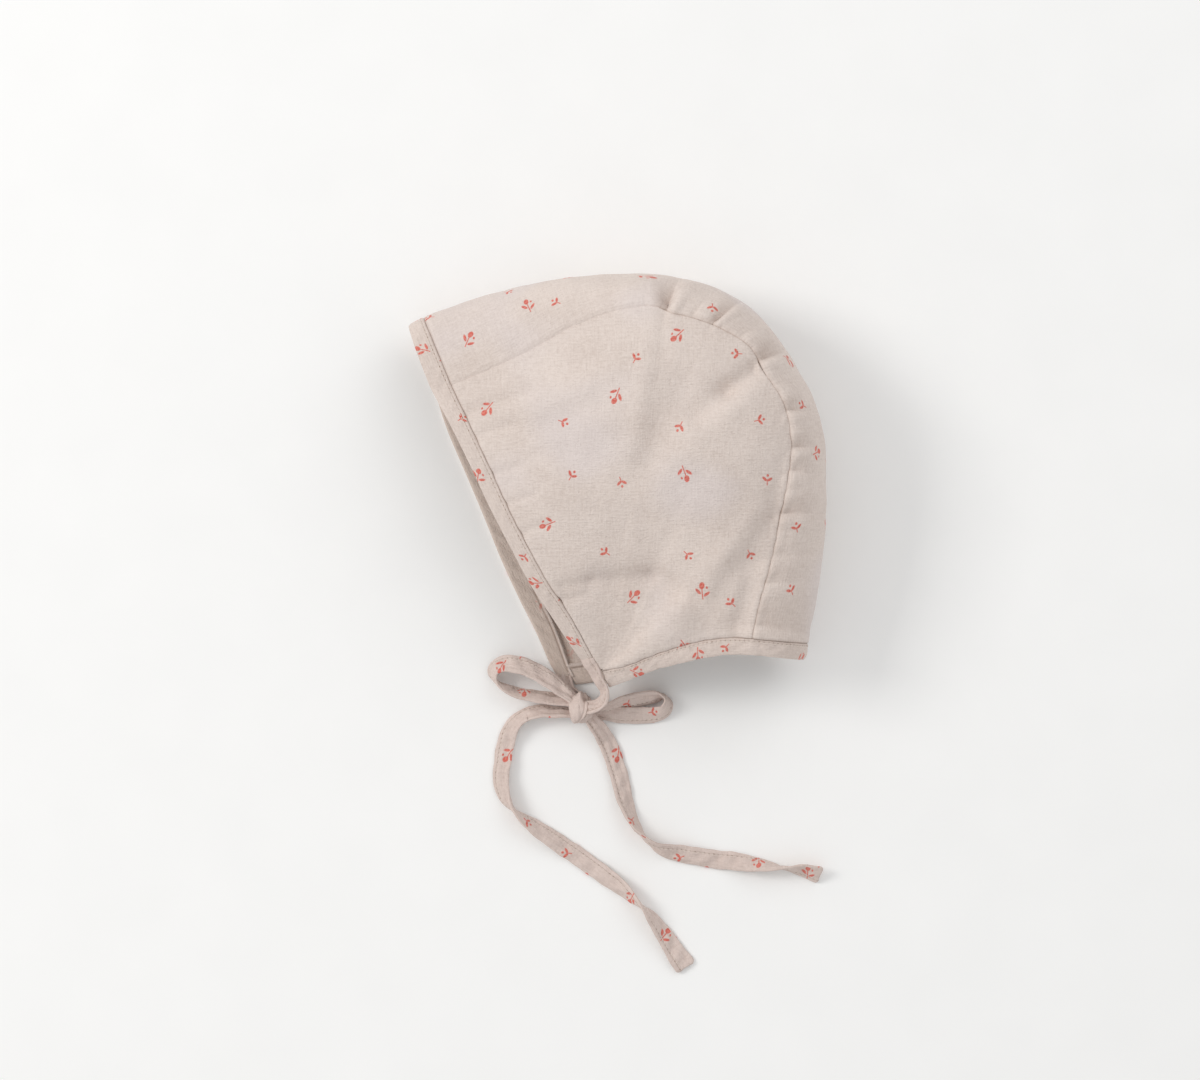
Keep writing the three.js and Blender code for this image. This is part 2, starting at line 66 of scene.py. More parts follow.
# The crown, from the forehead (first row) over the top and the back of the head to the nape (last row)
CROWN = [
    # rimX, rimY, rimZ, seamX, seamY, seamZ
    [-80, 127.5, 19, -68, 99, 36],
    [-52, 137, 21.5, -42, 110, 43],
    [-19.5, 143.5, 24.5, -13, 125, 49],
    [11.5, 145, 26, 11.5, 131, 53],
    [27.5, 143, 26.5, 22.5, 128, 54],
    [42, 138.5, 27, 34, 125, 54.5],
    [55, 131, 27, 45.5, 120, 55],
    [66, 119, 27, 54.5, 113.5, 55],
    [74.5, 105.5, 27, 61, 102.5, 55],
    [81.5, 92, 27, 68, 91, 55],
    [85.5, 77, 27, 71, 76, 54.5],
    [86, 61.5, 27, 70, 61, 54],
    [86, 43.5, 26.5, 66.5, 43.5, 53],
    [84.5, 25, 26, 62.5, 24, 51],
    [82, 8.5, 25.5, 58.5, 9.5, 49],
    [79, -7.5, 25, 55.5, -5, 46.5],
]

# Front edge of the upper panel, from the chin corner to the seam, and the way the binding leaves it
FRONT_UPPER = [
    # x, y, z, outX, outY, outZ
    [-6.5, -19, 20, -5.5, 1.5, -4.5],
    [-11, -11, 24, -6.7, 0.5, -4],
    [-19, 4, 31, -7.9, -0.5, -3.5],
    [-27.5, 16.5, 36.5, -8.2, 0.5, -3.5],
    [-35.5, 31, 40.5, -7.9, 0.5, -3],
    [-44, 47.5, 42.5, -7.9, 0.4, -2.5],
    [-52, 65, 42.5, -7.9, 0, -2],
    [-60.5, 83, 40.5, -7.9, -0.8, -1.5],
    [-68, 99, 36, -8.5, -1.9, -1.5],
]
FOREHEAD_OUT = [-6.5, -3.7, -0.5]

# Front edge of the lower panel, flat on the surface
FRONT_LOWER = [
    # x, y, outX, outY
    [-21, -18.5, -6.7, 1],
    [-27, -2, -6.9, -1.3],
    [-33.5, 11.5, -7.2, -1.3],
    [-40.5, 28, -7.8, -1.3],
    [-48, 46.5, -8, -0.8],
    [-55.5, 64, -8, -0.5],
    [-63, 82, -8, -0.8],
    [-68, 99, -8.2, -1.7],
]
CHIN_LOWER = [-19.4, -22, -5.6, 0.3]

# Neck edge of the upper panel, from the chin corner to the nape seam, and the way the hem leaves it
NECK_UPPER = [
    # x, y, z, outX, outY, outZ
    [-6.5, -19, 20, 3.3, -7.2, -4.5],
    [3.5, -16.8, 25, 2.5, -5.9, -4],
    [14, -12.5, 30, 2.1, -6.1, -3.2],
    [24, -9, 35, 1.5, -7, -3],
    [34, -6.3, 39.5, 0.7, -7.4, -2.6],
    [45, -4.8, 43.5, 0.2, -7.2, -2.5],
    [55.5, -5, 46.5, 0.1, -7, -2.5],
]
NAPE_OUT = [-1.8, -6.9, -0.5]

# Neck edge of the lower panel, flat on the surface
NECK_LOWER = [
    # x, y, outX, outY
    [-21, -18.5, 3.4, -7],
    [-10, -16.8, 1.2, -7.6],
    [1.5, -14.7, 1.3, -7.6],
    [14, -11, 0.8, -7.6],
    [27, -7.5, 0.4, -7.6],
    [42, -4.8, 0, -7.7],
    [55.5, -5, 0, -7.4],
]

# Puckers that ease the strip into the curved seam
PUCKERS = [
    # place along the crown (0 to 1), depth, half width in mm, reach across the strip, slant in mm
    [0.075, 0.3, 2, 0.35, 4],
    [0.165, 0.4, 2.2, 0.4, -3],
    [0.252, 3.2, 1.35, 0.36, 0.5],
    [0.312, 0.7, 1.6, 0.3, 2],
    [0.362, 2.3, 0.85, 0.34, 3],
    [0.425, 0.8, 1.8, 0.3, 1],
    [0.5, 2.4, 1.4, 0.4, -1.5],
    [0.556, 0.5, 1.7, 0.3, 1],
    [0.613, 2, 1.2, 0.23, 0.5],
    [0.68, 1.8, 1.2, 0.24, 0],
    [0.722, 1.6, 1.3, 0.2, 1],
    [0.79, 1.8, 1.5, 0.26, 0],
    [0.85, 0.5, 1.8, 0.4, -1],
    [0.893, 1.1, 1.8, 0.26, -0.5],
    [0.967, 1.3, 3, 0.5, 3],
]
EASED = 0.3               # share of a pucker's depth that the seam and the side panel take on
DRAWN = 3.2               # how far from the seam they take it on

# Soft valleys in the upper side panel
VALLEYS = [
    # fromX, fromY, toX, toY, depth, half width
    [60, 110, 30, 90, 2.6, 8],
    [20, 104, 18, 76, 1.4, 9],
    [62, 58, 38, 10, 3.2, 10],
    [-22, 18, 14, 22, 1.8, 9],
]

# Lighter creases and swells that only the cloth shows: a swell has a negative depth
CREASES = [
    # fromX, fromY, toX, toY, depth, half width
    [18.5, 127, 19, 112, 0.4, 3.2],
    [27, 101, 15, 70, 1.3, 6.5],
    [11, 103, 5, 72, -0.9, 4.5],
    [57, 105, 45, 96.5, 2.7, 4.2],
    [45, 96.5, 33, 87, 2.1, 4.6],
    [56, 96, 46, 88, -0.6, 4.5],
    [67, 66, 63, 46, 1.2, 4.2],
    [63, 44, 51, 25, 1.5, 5],
    [51, 25, 35, 2, 1.2, 5.5],
    [57, 46, 44, 30, -1, 5],
    [44, 30, 28, 8, -0.9, 5.5],
    [57.5, 26, 50, 1.5, 2.3, 4.6],
    [32, 13, 14, 20, 1.6, 4.2],
    [-60, 88, -36, 96, 1, 3],
    [-56, 79, -42, 83, 0.7, 2.2],
    [-50, 63, -39, 66, 0.6, 2],
    [-44, 51, -34, 54, 0.6, 2],
    [-38, 39, -28, 42, 0.7, 2],
    [-25, 10, -12, 13, 0.9, 2.2],
    [30, 8, 36, 20, 0.5, 4],
    [-30, 92, -6, 104, -0.8, 7],
    [-36, 80, -8, 92, 0.8, 5],
    [-30, 70, 6, 78, 0.5, 6],
    [16, 80, 10, 62, 0.7, 6],
    [30, 74, 50, 54, -0.8, 9],
    [14, 20, -10, 18.5, 1.4, 3.6],
    [-10, 18.5, -22, 16, 1.1, 2.8],
    [-12, 27, 8, 27, -0.7, 5],
    [-14, 4, 8, 2, -0.6, 5],
    [26, 8, 30, -2, -0.4, 4],
]

# Ties: the middle line, its height where it is held up, the roll of the width about the run, and the share
# of the full width that is left where the tie is gathered
LEAD_UPPER = [
    # x, y, height, roll, gather
    [-12.5, -13.5, 20.4, 50, 0.98],
    [-11.4, -16, 19.45, 50, 0.98],
    [-10.2, -17.75, 18.95, 51, 0.95],
    [-9.3, -19.4, 18.6, 51, 0.92],
    [-7.2, -23.6, 17.2, 54, 0.84],
    [-5.1, -27.6, 15.7, 62, 0.86],
    [-5.3, -31, 14.2, 57, 0.86],
    [-8.2, -33.7, 12.5, 44, 0.82],
    [-12.2, -34.6, 11, 26, 0.78],
    [-15.6, -34.8, 9, 20, 0.6],
]
LEAD_LOWER = [
    # x, y, height, roll, gather
    [-22.9, -19, 0.9, 0, 0.8],
    [-22.4, -21, 1.1, 2, 0.78],
    [-21.8, -22.6, 1.6, 4, 0.76],
    [-20.9, -24.8, 2.4, 10, 0.72],
    [-19.5, -27.2, 3.4, 18, 0.64],
    [-17.4, -29.2, 4, 14, 0.56],
    [-14.8, -32.4, 4.6, 18, 0.5],
]
LOOP_LEFT = [
    # x, y, height, roll, gather
    [-16.5, -32.6, 9, 38, 0.6],
    [-22.3, -27.7, 9.8, 34, 0.85],
    [-27.8, -23.4, 10.1, 30, 1],
    [-34, -19.6, 10, 24, 1],
    [-41.2, -16.8, 9.3, 20, 1],
    [-47, -16.4, 7.6, 32, 1],
    [-50.8, -18.2, 6, 50, 1],
    [-52, -20.8, 5, 62, 1],
    [-50.8, -23.6, 4.6, 82, 1],
    [-47.8, -26, 4.6, 106, 1],
    [-42.4, -28.5, 4.5, 121, 1],
    [-36.3, -29.9, 4.6, 124, 1],
    [-28.5, -30.9, 4.9, 130, 1],
    [-21.5, -32.2, 5.4, 124, 0.84],
    [-15.8, -33.4, 5.6, 108, 0.6],
]
LOOP_RIGHT = [
    # x, y, height, roll, gather
    [-14.6, -34.2, 5.6, 62, 0.6],
    [-9, -34.6, 5.3, 62, 0.66],
    [-2.8, -34.4, 4.8, 54, 0.86],
    [4, -32.4, 4.5, 44, 1],
    [9.8, -31.4, 4.3, 38, 1],
    [16.2, -30.5, 4.3, 50, 1],
    [20.1, -30.9, 4.5, 92, 1],
    [21.3, -33.4, 4.3, 122, 1],
    [20.2, -36.2, 3.8, 132, 1],
    [16.4, -37.9, 3, 145, 1],
    [9, -38.3, 2.5, 155, 1],
    [1.4, -38.1, 2.2, 158, 0.95],
    [-5.3, -37.4, 2.3, 160, 0.8],
    [-11.4, -36.8, 2.6, 160, 0.62],
    [-15.4, -36.2, 3, 160, 0.55],
]
TAIL_LEFT = [
    # x, y, height, roll, gather
    [-14.4, -36.6, 4.2, 50, 0.6],
    [-19.6, -37, 4, 50, 0.74],
    [-25, -36.9, 3.9, 50, 0.88],
    [-31, -36.4, 3.9, 50, 1],
    [-36.5, -37.4, 3.9, 50, 1],
    [-41.2, -40, 0, 44, 1],
    [-44.6, -44.4, 0, 32, 1],
    [-46.4, -50, 0, 18, 1],
    [-47.8, -58, 0, 24, 1],
    [-48.5, -65, 0, 30, 1],
    [-47.4, -71.2, 0, 48, 1],
    [-45, -76, 0, 74, 1],
    [-41.6, -79.6, 0, 100, 1],
    [-37.4, -82.8, 0, 126, 1],
    [-31.6, -87, 0, 148, 1],
    [-24.8, -91.6, 0, 166, 1],
    [-17, -97, 0, 178, 1],
    [-9, -102.6, 0, 186, 1],
    [-1.6, -107.9, 0, 202, 1],
    [4.6, -112.8, 0, 228, 1],
    [10, -117.8, 0, 264, 1],
    [14.2, -122.4, 0, 300, 1],
    [18.2, -127.8, 0, 322, 1],
    [22.3, -134, 0, 340, 1],
    [29.2, -144.3, 0, 356, 1],
]
TAIL_RIGHT = [
    # x, y, height, roll, gather
    [-14, -36.2, 8.2, -12, 0.6],
    [-10.2, -40.2, 6.9, -16, 0.76],
    [-6.6, -45.2, 4.4, -18, 0.94],
    [-2.8, -52, 0, -14, 1],
    [0, -60, 0, -14, 1],
    [2, -67.5, 0, -20, 1],
    [4, -75, 0, -36, 1],
    [6.5, -81.4, 0, -56, 1],
    [9.8, -86.8, 0, -76, 1],
    [13.6, -90.9, 0, -98, 1],
    [17.9, -93.8, 0, -124, 1],
    [23.6, -95.6, 0, -150, 1],
    [32, -97.2, 0, -168, 1],
    [41.4, -98.7, 0, -178, 1],
    [51, -99.8, 0, -198, 1],
    [58.8, -100.8, 0, -226, 1],
    [66.2, -101.7, 0, -254, 1],
    [72.2, -102.4, 0, -284, 1],
    [78, -103.3, 0, -308, 1],
    [85.6, -105.3, 0, -322, 1],
]
KNOT_PLACE = (-14.9, -35.4, 6.5)
KNOT_HALF = (5.0, 6.7, 6.2)
KNOT_TURN = math.radians(8)
KNOT_FULLNESS = 0.5       # 1 is an oval, and less is fuller towards its ends
KNOT_LOWEST = 0.3
KNOT_MESH = (72, 128)     # rows along its axis, and points round it

SPREAD = np.random.default_rng(11)


# Studio

def look_at(thing, target):
    """Turns a light's or camera's -Z axis towards a point."""
    way = np.subtract(target, thing.location)
    flat = math.hypot(way[0], way[1])
    thing.rotation_euler = (math.atan2(flat, -way[2]), 0, math.atan2(way[0], -way[1]) + math.pi)


def put(name, data):
    """A new object in the scene."""
    thing = bpy.data.objects.new(name, data)
    bpy.context.collection.objects.link(thing)
    return thing


def make_camera():
    """The photograph's view: straight down, as wide at the surface as the photograph is in millimetres."""
    data = bpy.data.cameras.new("camera")
    data.sensor_fit = "HORIZONTAL"
    data.sensor_width = SENSOR
    data.lens = SENSOR * EYE[2] / (PHOTO_WIDTH * MM_PER_PIXEL)
    data.clip_end = CAMERA_REACH
    camera = put("camera", data)
    camera.location = [c * MM for c in EYE]
    bpy.context.scene.camera = camera


AIM = (0, 0.04, 0)        # where the lamps point, in metres
LAMPS = [
    # name, place in metres, side in metres, power in watts, colour
    ["key_light", (-1.7, 0.6, 1.4), 0.8, 18.5, (1.0, 0.985, 0.965)],
    ["fill_light", (1.0, 1.3, 1.4), 1.4, 6, (0.98, 0.985, 1.0)],
]
SKY_LIGHT = 0.66          # strength of the even light from all round


def soft_light(name, place, size, power, colour):
    """A square lamp that shines on the bonnet."""
    data = bpy.data.lights.new(name, "AREA")
    data.shape = "SQUARE"
    data.size = size
    data.energy = power
    data.color = colour
    lamp = put(name, data)
    lamp.location = place
    look_at(lamp, AIM)


make_camera()
for lamp_row in LAMPS:
    soft_light(*lamp_row)
bpy.context.scene.view_settings.view_transform = "Standard"


# Shader arithmetic

def operator(operation, swapped=False):
    """An operator of Value: the Math node for it, with the terms the other way round if swapped."""
    def apply(self, other):
        terms = [other, self] if swapped else [self, other]
        return self.paint.add("ShaderNodeMath", {"operation": operation}, terms)
    return apply


class Value:
    """A socket whose sums, differences and so on are Math nodes."""

    __add__ = __radd__ = operator("ADD")
    __mul__ = __rmul__ = operator("MULTIPLY")
    __sub__ = operator("SUBTRACT")
    __rsub__ = operator("SUBTRACT", swapped=True)
    __truediv__ = operator("DIVIDE")
    __pow__ = operator("POWER")
    __gt__ = operator("GREATER_THAN")

    def __init__(self, paint, socket):
        self.paint = paint
        self.socket = socket

    def math(self, operation, *others):
        return self.paint.add("ShaderNodeMath", {"operation": operation}, [self, *others])

    def between(self, low, high):
        """0 up to low, 1 from high, smooth in between."""
        limits = {"Value": self, "From Min": low, "From Max": high}
        return self.paint.add("ShaderNodeMapRange", {"interpolation_type": "SMOOTHSTEP"}, limits)


class Paint:
    """A material's nodes."""

    def __init__(self, name, roughness, sheen):
        self.material = bpy.data.materials.new(name)
        self.material.use_nodes = True
        self.tree = self.material.node_tree
        self.shader = self.tree.nodes["Principled BSDF"]
        looks = {"Sheen Weight": sheen, "Sheen Roughness": 0.5, "Specular IOR Level": 0.25,
                 "Roughness": roughness}
        for socket, value in looks.items():
            self.shader.inputs[socket].default_value = value

    def add(self, kind, settings, inputs, output=0):
        """A node of that type: its settings first, then values or links by the sockets' names or order."""
        node = self.tree.nodes.new(kind)
        for name, value in settings.items():
            setattr(node, name, value)
        pairs = inputs.items() if isinstance(inputs, dict) else enumerate(inputs)
        for key, value in pairs:
            self.feed(node.inputs[key], value)
        return Value(self, node.outputs[output])

    def feed(self, socket, value):
        if isinstance(value, Value):
            self.tree.links.new(value.socket, socket)
        else:
            socket.default_value = value

    def also(self, value, output):
        """Another output of the node that gives value."""
        return Value(self, value.socket.node.outputs[output])

    def noise(self, vector, scale, detail=2.0, rough=0.5):
        """Soft noise from about 0.25 to 0.75."""
        sockets = {"Vector": vector, "Scale": scale, "Detail": detail, "Roughness": rough}
        return self.add("ShaderNodeTexNoise", {"noise_dimensions": "3D"}, sockets)

    def scaled(self, vector, factors):
        return self.add("ShaderNodeVectorMath", {"operation": "MULTIPLY"}, [vector, factors])

    def mixed(self, share, first, second):
        """Two colours mixed by a share."""
        node = self.tree.nodes.new("ShaderNodeMix")
        node.data_type = "RGBA"
        for socket, value in zip((node.inputs[0], node.inputs[6], node.inputs[7]), (share, first, second)):
            self.feed(socket, value)
        return Value(self, node.outputs[2])

    def place(self):
        """The object's own coordinates, in metres."""
        return self.add("ShaderNodeTexCoord", {}, [], "Object")

    def mark(self, name):
        """A number that the mesh holds for each vertex."""
        return self.add("ShaderNodeAttribute", {"attribute_name": name}, [], "Fac")

    def coat(self, colour):
        self.feed(self.shader.inputs["Base Color"], colour)

    def bump(self, height, distance):
        sockets = {"Height": height, "Distance": distance, "Strength": 1.0}
        self.feed(self.shader.inputs["Normal"], self.add("ShaderNodeBump", {}, sockets))


def linear(red, green, blue):
    """A colour of the usual 0 to 255 steps as linear light."""
    return tuple(((c / 255 + 0.055) / 1.055) ** 2.4 for c in (red, green, blue)) + (1.0,)


LIT_COTTON = linear(229, 216, 208)
DEEP_COTTON = linear(208, 193, 184)
COOL_COTTON = linear(219, 211, 214)
# the wrong side's own colour, also used as painted shade on a band's inner face
WRONG_SIDE_AND_SHADE = linear(196, 176, 160)
# brown of the dark seam lines, which are partly painted shade, and of the painted shade in puckers, folds,
# needle holes and the hollow
SEAM_AND_PAINTED_SHADE = linear(140, 112, 94)
CORAL = linear(206, 74, 56)
ROSE = linear(222, 104, 86)

WIDE_STEP = (26.0, 26.0)  # rough distance from one printed sprig to the next on the panels
TIE_STEP = (30.0, TIE_WIDTH)
BAND_STEP = (28.0, 9.0)
SPRIG_SIZE = 1.12
PRINT_SHIFT = -0.19       # how far the cells are moved across the cloth, as a share of a cell
TOSSED = 0.62             # how far a sprig strays from the middle of its cell, 0 to 1
LARGE_SHARE = 0.5         # share of the sprigs that are buds
EDGE = 0.14               # softness of a drawn edge


def turned(x, y, cos, sin):
    """A place seen from axes that are turned by the angle of that cosine and sine."""
    return x * cos + y * sin, y * cos - x * sin


def spot(x, y, middle, turn, across, upward):
    """How far a place is inside a turned oval: above 0 inside, in millimetres."""
    right, up = turned(x - middle[0], y - middle[1], math.cos(turn), math.sin(turn))
    size = (right / across) ** 2 + (up / upward) ** 2
    return (1 - size.math("SQRT")) * min(across, upward)


def stalk(x, y, start, end, half):
    """How far a place is inside a straight stroke from start to end."""
    run = np.subtract(end, start)
    share = ((x - start[0]) * run[0] + (y - start[1]) * run[1]) / float(run @ run)
    share = share.math("MINIMUM", 1.0).math("MAXIMUM", 0.0)
    away = (x - start[0] - share * run[0]) ** 2 + (y - start[1] - share * run[1]) ** 2
    return half - away.math("SQRT")


def joined(parts):
    """The union of drawn parts."""
    whole = parts[0]
    for part in parts[1:]:
        whole = whole.math("MAXIMUM", part)
    return whole


def bud_sprig(x, y):
    """A bud on a stem between two leaves, with a loose petal."""
    return joined([
        spot(x, y, (-0.2, 2.0), -0.1, 0.95, 1.25),
        stalk(x, y, (-0.15, 1.0), (0.25, -2.9), 0.2),
        spot(x, y, (-1.45, -0.1), 0.75, 0.55, 1.35),
        spot(x, y, (1.6, -1.0), -0.85, 0.52, 1.3),
        spot(x, y, (1.55, 1.35), 0.4, 0.36, 0.5),
    ])


def seedling(x, y):
    """Two small leaves and a seed on a short stem."""
    return joined([
        spot(x, y, (-0.95, 0.45), 0.85, 0.5, 1.1),
        spot(x, y, (0.9, 0.35), -0.95, 0.48, 1.05),
        spot(x, y, (0.1, 1.75), 0.0, 0.45, 0.5),
        stalk(x, y, (0.0, 0.2), (0.1, -1.7), 0.18),
    ])


def sprig_ink(paint, cloth, step):
    """Sprigs tossed over the cloth, one to a cell and each turned its own way: the ink's share. A cell is
    step mm along and across the cloth, and the sprigs' mean place is the middle of a cell."""
    to_cells = [cloth, (1 / step[0], 1 / step[1], 1.0), (0.0, PRINT_SHIFT, 0.0)]
    cell = paint.add("ShaderNodeVectorMath", {"operation": "MULTIPLY_ADD"}, to_cells)
    settings = {"voronoi_dimensions": "2D", "feature": "F1"}
    sockets = {"Vector": cell, "Scale": 1.0, "Randomness": TOSSED}
    nearest = paint.add("ShaderNodeTexVoronoi", settings, sockets)
    middle = paint.also(nearest, "Position")
    offset = paint.add("ShaderNodeVectorMath", {"operation": "SUBTRACT"}, [cell, middle])
    across = paint.add("ShaderNodeSeparateXYZ", {}, [paint.scaled(offset, (*step, 1.0))])
    up = paint.also(across, 1)
    chance = paint.add("ShaderNodeSeparateColor", {}, [paint.also(nearest, "Color")])
    turn = chance * math.tau
    x, y = (side / SPRIG_SIZE for side in turned(across, up, turn.math("COSINE"), turn.math("SINE")))
    large = paint.also(chance, 1) > 1 - LARGE_SHARE
    inside = bud_sprig(x, y) * large + seedling(x, y) * (1 - large)
    return inside.between(-EDGE, EDGE)


COTTON_SHEEN = 0.1
CLOUD_TONE = 0.9          # how strongly each pattern changes the tone
CREPE_TONE = 1.8
THREAD_TONE = 1.2
MEAN_TONE = 0.6           # from the deep cotton (0) to the lit one (1)
WORN = 0.84               # mean strength of the print
INK_WITHIN = 0.25         # share of the print that shows through on the wrong side
WRONG_SIDE_AND_SHADE_SHARE = 0.3          # share of the wrong side's own colour, and of the painted shade on a band's inner face
# strength of the dark seam lines and the painted shade
SEAM_AND_SHADE_STRENGTH = 0.85
HOLE_HALF = (0.42, 0.26)  # half a needle hole's length and width
PRESSED_HALF = 0.34       # half width of the pressed line along a row of stitches
CRUMPLE_HEIGHT = 0.0005   # in metres
THREAD_HEIGHT = 0.0001


def stitch_marks(paint, cloth, rows, crinkle, shade):
    """shade, with painted shade in the needle holes and along the pressed line of each row of stitches, by
    its place across.
    """
    ends = paint.add("ShaderNodeSeparateXYZ", {}, [cloth])
    near = ((ends / STITCH_PITCH + 0.5).math("FRACT") - 0.5) * STITCH_PITCH
    uneven = crinkle.between(0.4, 0.6)
    for row in rows:
        aside = paint.also(ends, 1) - row
        # painted shade in each needle hole and along the pressed line of its row
        hole = spot(near, aside, (0.0, 0.0), 0.0, *HOLE_HALF).between(-EDGE, EDGE) * (uneven * 0.6 + 0.3)
        pressed = (PRESSED_HALF - aside.math("ABSOLUTE")).between(0.0, 0.3) * (uneven * 0.3 + 0.12)
        shade = shade.math("MAXIMUM", hole).math("MAXIMUM", pressed)
    return shade


def make_cotton(name, tone=(1.0, 1.0, 1.0), rows=(), step=WIDE_STEP, cool_share=0.0):
    """Fine crepe-woven cotton: crinkled grain, faint threads both ways, a soft change of tone, the printed
    sprigs if there is a step between them, the wrong side's own tone, dark seam lines that are partly painted
    shade, painted shade where the mesh marks it, and rows of stitches with painted shade in their needle
    holes and pressed lines."""
    paint = Paint(name, roughness=0.88, sheen=COTTON_SHEEN)
    cloth = paint.add("ShaderNodeUVMap", {"uv_map": "cloth"}, [])
    place = paint.place()
    crinkle = paint.noise(paint.scaled(cloth, (0.62, 1.25, 1.0)), 1.0, rough=0.6)
    grain = paint.noise(cloth, 1.7, detail=3.0, rough=0.7)
    warp = paint.noise(paint.scaled(cloth, (1.5, 0.16, 1.0)), 1.0, detail=1.0)
    weft = paint.noise(paint.scaled(cloth, (0.14, 1.6, 1.0)), 1.0, detail=1.0)
    clouds = paint.noise(place, 34.0, detail=3.0, rough=0.55)
    crepe = crinkle * 0.6 + grain * 0.4
    threads = (warp + weft) * 0.5
    light = (clouds - 0.5) * CLOUD_TONE + (crepe - 0.5) * CREPE_TONE + (threads - 0.5) * THREAD_TONE
    shades = (DEEP_COTTON, LIT_COTTON, COOL_COTTON)
    deep, lit, cool = ((*np.multiply(shade[:3], tone), 1.0) for shade in shades)
    colour = paint.mixed((light + MEAN_TONE).between(-0.1, 1.1), deep, lit)
    cool_spots = paint.noise(place, 22.0, detail=1.0, rough=0.4).between(0.5, 0.72)
    colour = paint.mixed(cool_spots * cool_share, colour, cool)
    # 1 on a wall's wrong side; on a band's inner face, painted shade that leaves its lit ridge light
    side = paint.mark("wrong_side_and_shade")
    colour = paint.mixed(side * WRONG_SIDE_AND_SHADE_SHARE, colour, WRONG_SIDE_AND_SHADE)
    if step:
        worn = (grain - 0.5) * 1.3 + WORN
        ink = (sprig_ink(paint, cloth, step) * worn * (1 - side * (1 - INK_WITHIN))).math("MINIMUM", 0.95)
        colour = paint.mixed(ink, colour, paint.mixed(crinkle.between(0.42, 0.62), CORAL, ROSE))
    # painted shade, and dark seam lines that are partly painted shade in their grooves, as each vertex holds
    # it
    shade = paint.mark("seams_and_painted_shade")
    if rows:
        shade = stitch_marks(paint, cloth, rows, crinkle, shade)
    paint.coat(paint.mixed(shade * SEAM_AND_SHADE_STRENGTH, colour, SEAM_AND_PAINTED_SHADE))
    crumple = paint.noise(place, 240.0, detail=3.0, rough=0.6)
    height = crinkle * 0.65 + grain * 0.3 + threads * 0.6 + crumple * 0.6 - shade * 0.3
    paint.bump(height, CRUMPLE_HEIGHT)
    paint.feed(paint.shader.inputs["Roughness"], 0.84 + grain * 0.1)
    return paint.material


def make_thread():
    """Sewing thread: a twisted two-ply, a little lighter than the cloth."""
    paint = Paint("sewing_thread", roughness=0.7, sheen=0.2)
    ply = paint.noise(paint.place(), 900.0)
    paint.coat(paint.mixed(ply, linear(214, 199, 187), linear(238, 228, 219)))
    paint.bump(ply, THREAD_HEIGHT)
    return paint.material


def make_floor():
    """Matt paper, close to white."""
    paint = Paint("pale_paper", roughness=0.95, sheen=0.0)
    fibre = paint.noise(paint.place(), 30.0)
    paint.coat(paint.mixed(fibre, linear(249, 249, 248), linear(253, 253, 252)))
    return paint.material


PANEL_COTTON = make_cotton("printed_cotton", cool_share=0.3)
BAND_COTTON = make_cotton("binding_cotton", (0.97, 0.96, 0.955), [BAND_ROW], BAND_STEP)
HEM_COTTON = make_cotton("hem_cotton", (0.98, 0.965, 0.96), [HEM_ROW], BAND_STEP)
TIE_TONE = (0.95, 0.905, 0.9)
TIE_ROWS = [TIE_SEAM, 2 * TIE_WIDTH - TIE_SEAM]
TIE_COTTON = make_cotton("tie_cotton", TIE_TONE, TIE_ROWS, TIE_STEP)
KNOT_COTTON = make_cotton("knot_cotton", TIE_TONE, TIE_ROWS, None)
THREAD_LOOK = make_thread()


# Vectors and curves as arrays

UP = np.array([0, 0, 1.0])
INSIDE = np.array([0, 50.0, 10.0])    # a place in the hollow
BATCHES = 40


def along(table, place):
    """The Catmull-Rom curve through a table's rows, at places from 0 (first row) to 1 (last row)."""
    table = np.asarray(table, float)
    last = len(table) - 1
    at = np.clip(place, 0, 1) * last
    i = np.minimum(at.astype(int), last - 1)
    f = (at - i)[..., None]
    a, b, c, d = (table[np.clip(i + k, 0, last)] for k in (-1, 0, 1, 2))
    rise, fall = (c - a) / 2, (d - b) / 2
    return b + f * (rise + f * (3 * (c - b) - 2 * rise - fall + f * (2 * (b - c) + rise + fall)))


def unit(vectors):
    """Vectors of length 1 that point the same way."""
    return vectors / np.maximum(np.linalg.norm(vectors, axis=-1, keepdims=True), 1e-9)


def mix(a, b, share):
    return a + (b - a) * share


def laid_out(at, way, up, aside, height):
    """Points beside a line and above it: the line's, plus aside times its way and height times its up."""
    return at[:, None] + way[:, None] * aside[..., None] + up[:, None] * height[..., None]


def arc_length(points, axis=0):
    """How far each point lies along its line, measured along the line."""
    steps = np.linalg.norm(np.diff(points, axis=axis), axis=-1)
    first = np.zeros_like(np.take(steps, [0], axis=axis))
    return np.concatenate([first, np.cumsum(steps, axis=axis)], axis=axis)


def read_off(places, length, columns):
    """The rows of columns at places along a line, whose own rows lie at length along it."""
    return np.stack([np.interp(places, length, c) for c in columns.T], 1)


def outward(grid):
    """Unit normals of a grid of points, the cross product of its two directions, away from INSIDE."""
    out = unit(np.cross(np.gradient(grid, axis=0), np.gradient(grid, axis=1)))
    return out * np.sign(((grid - INSIDE) * out).sum(-1).mean())


def hump(distance, half):
    """A bell curve that is 1 at 0."""
    return np.exp(-(distance / half) ** 2)


def distance_to(points, line):
    """The distance from each point to the nearest point of a line that is given by many points. It is worked
    out in batches, which saves memory."""
    flat = points.reshape(-1, 3)
    batches = np.array_split(flat, BATCHES)
    found = [np.linalg.norm(batch[:, None] - line, axis=2).min(1) for batch in batches]
    return np.concatenate(found).reshape(points.shape[:-1])


def ripples(x, y, waves):
    """Low relief: the mean of sine waves, each given by its way, length and phase."""
    total = 0
    for angle, length, phase in waves:
        total = total + np.sin((x * math.cos(angle) + y * math.sin(angle)) * math.tau / length + phase)
    return total / len(waves)


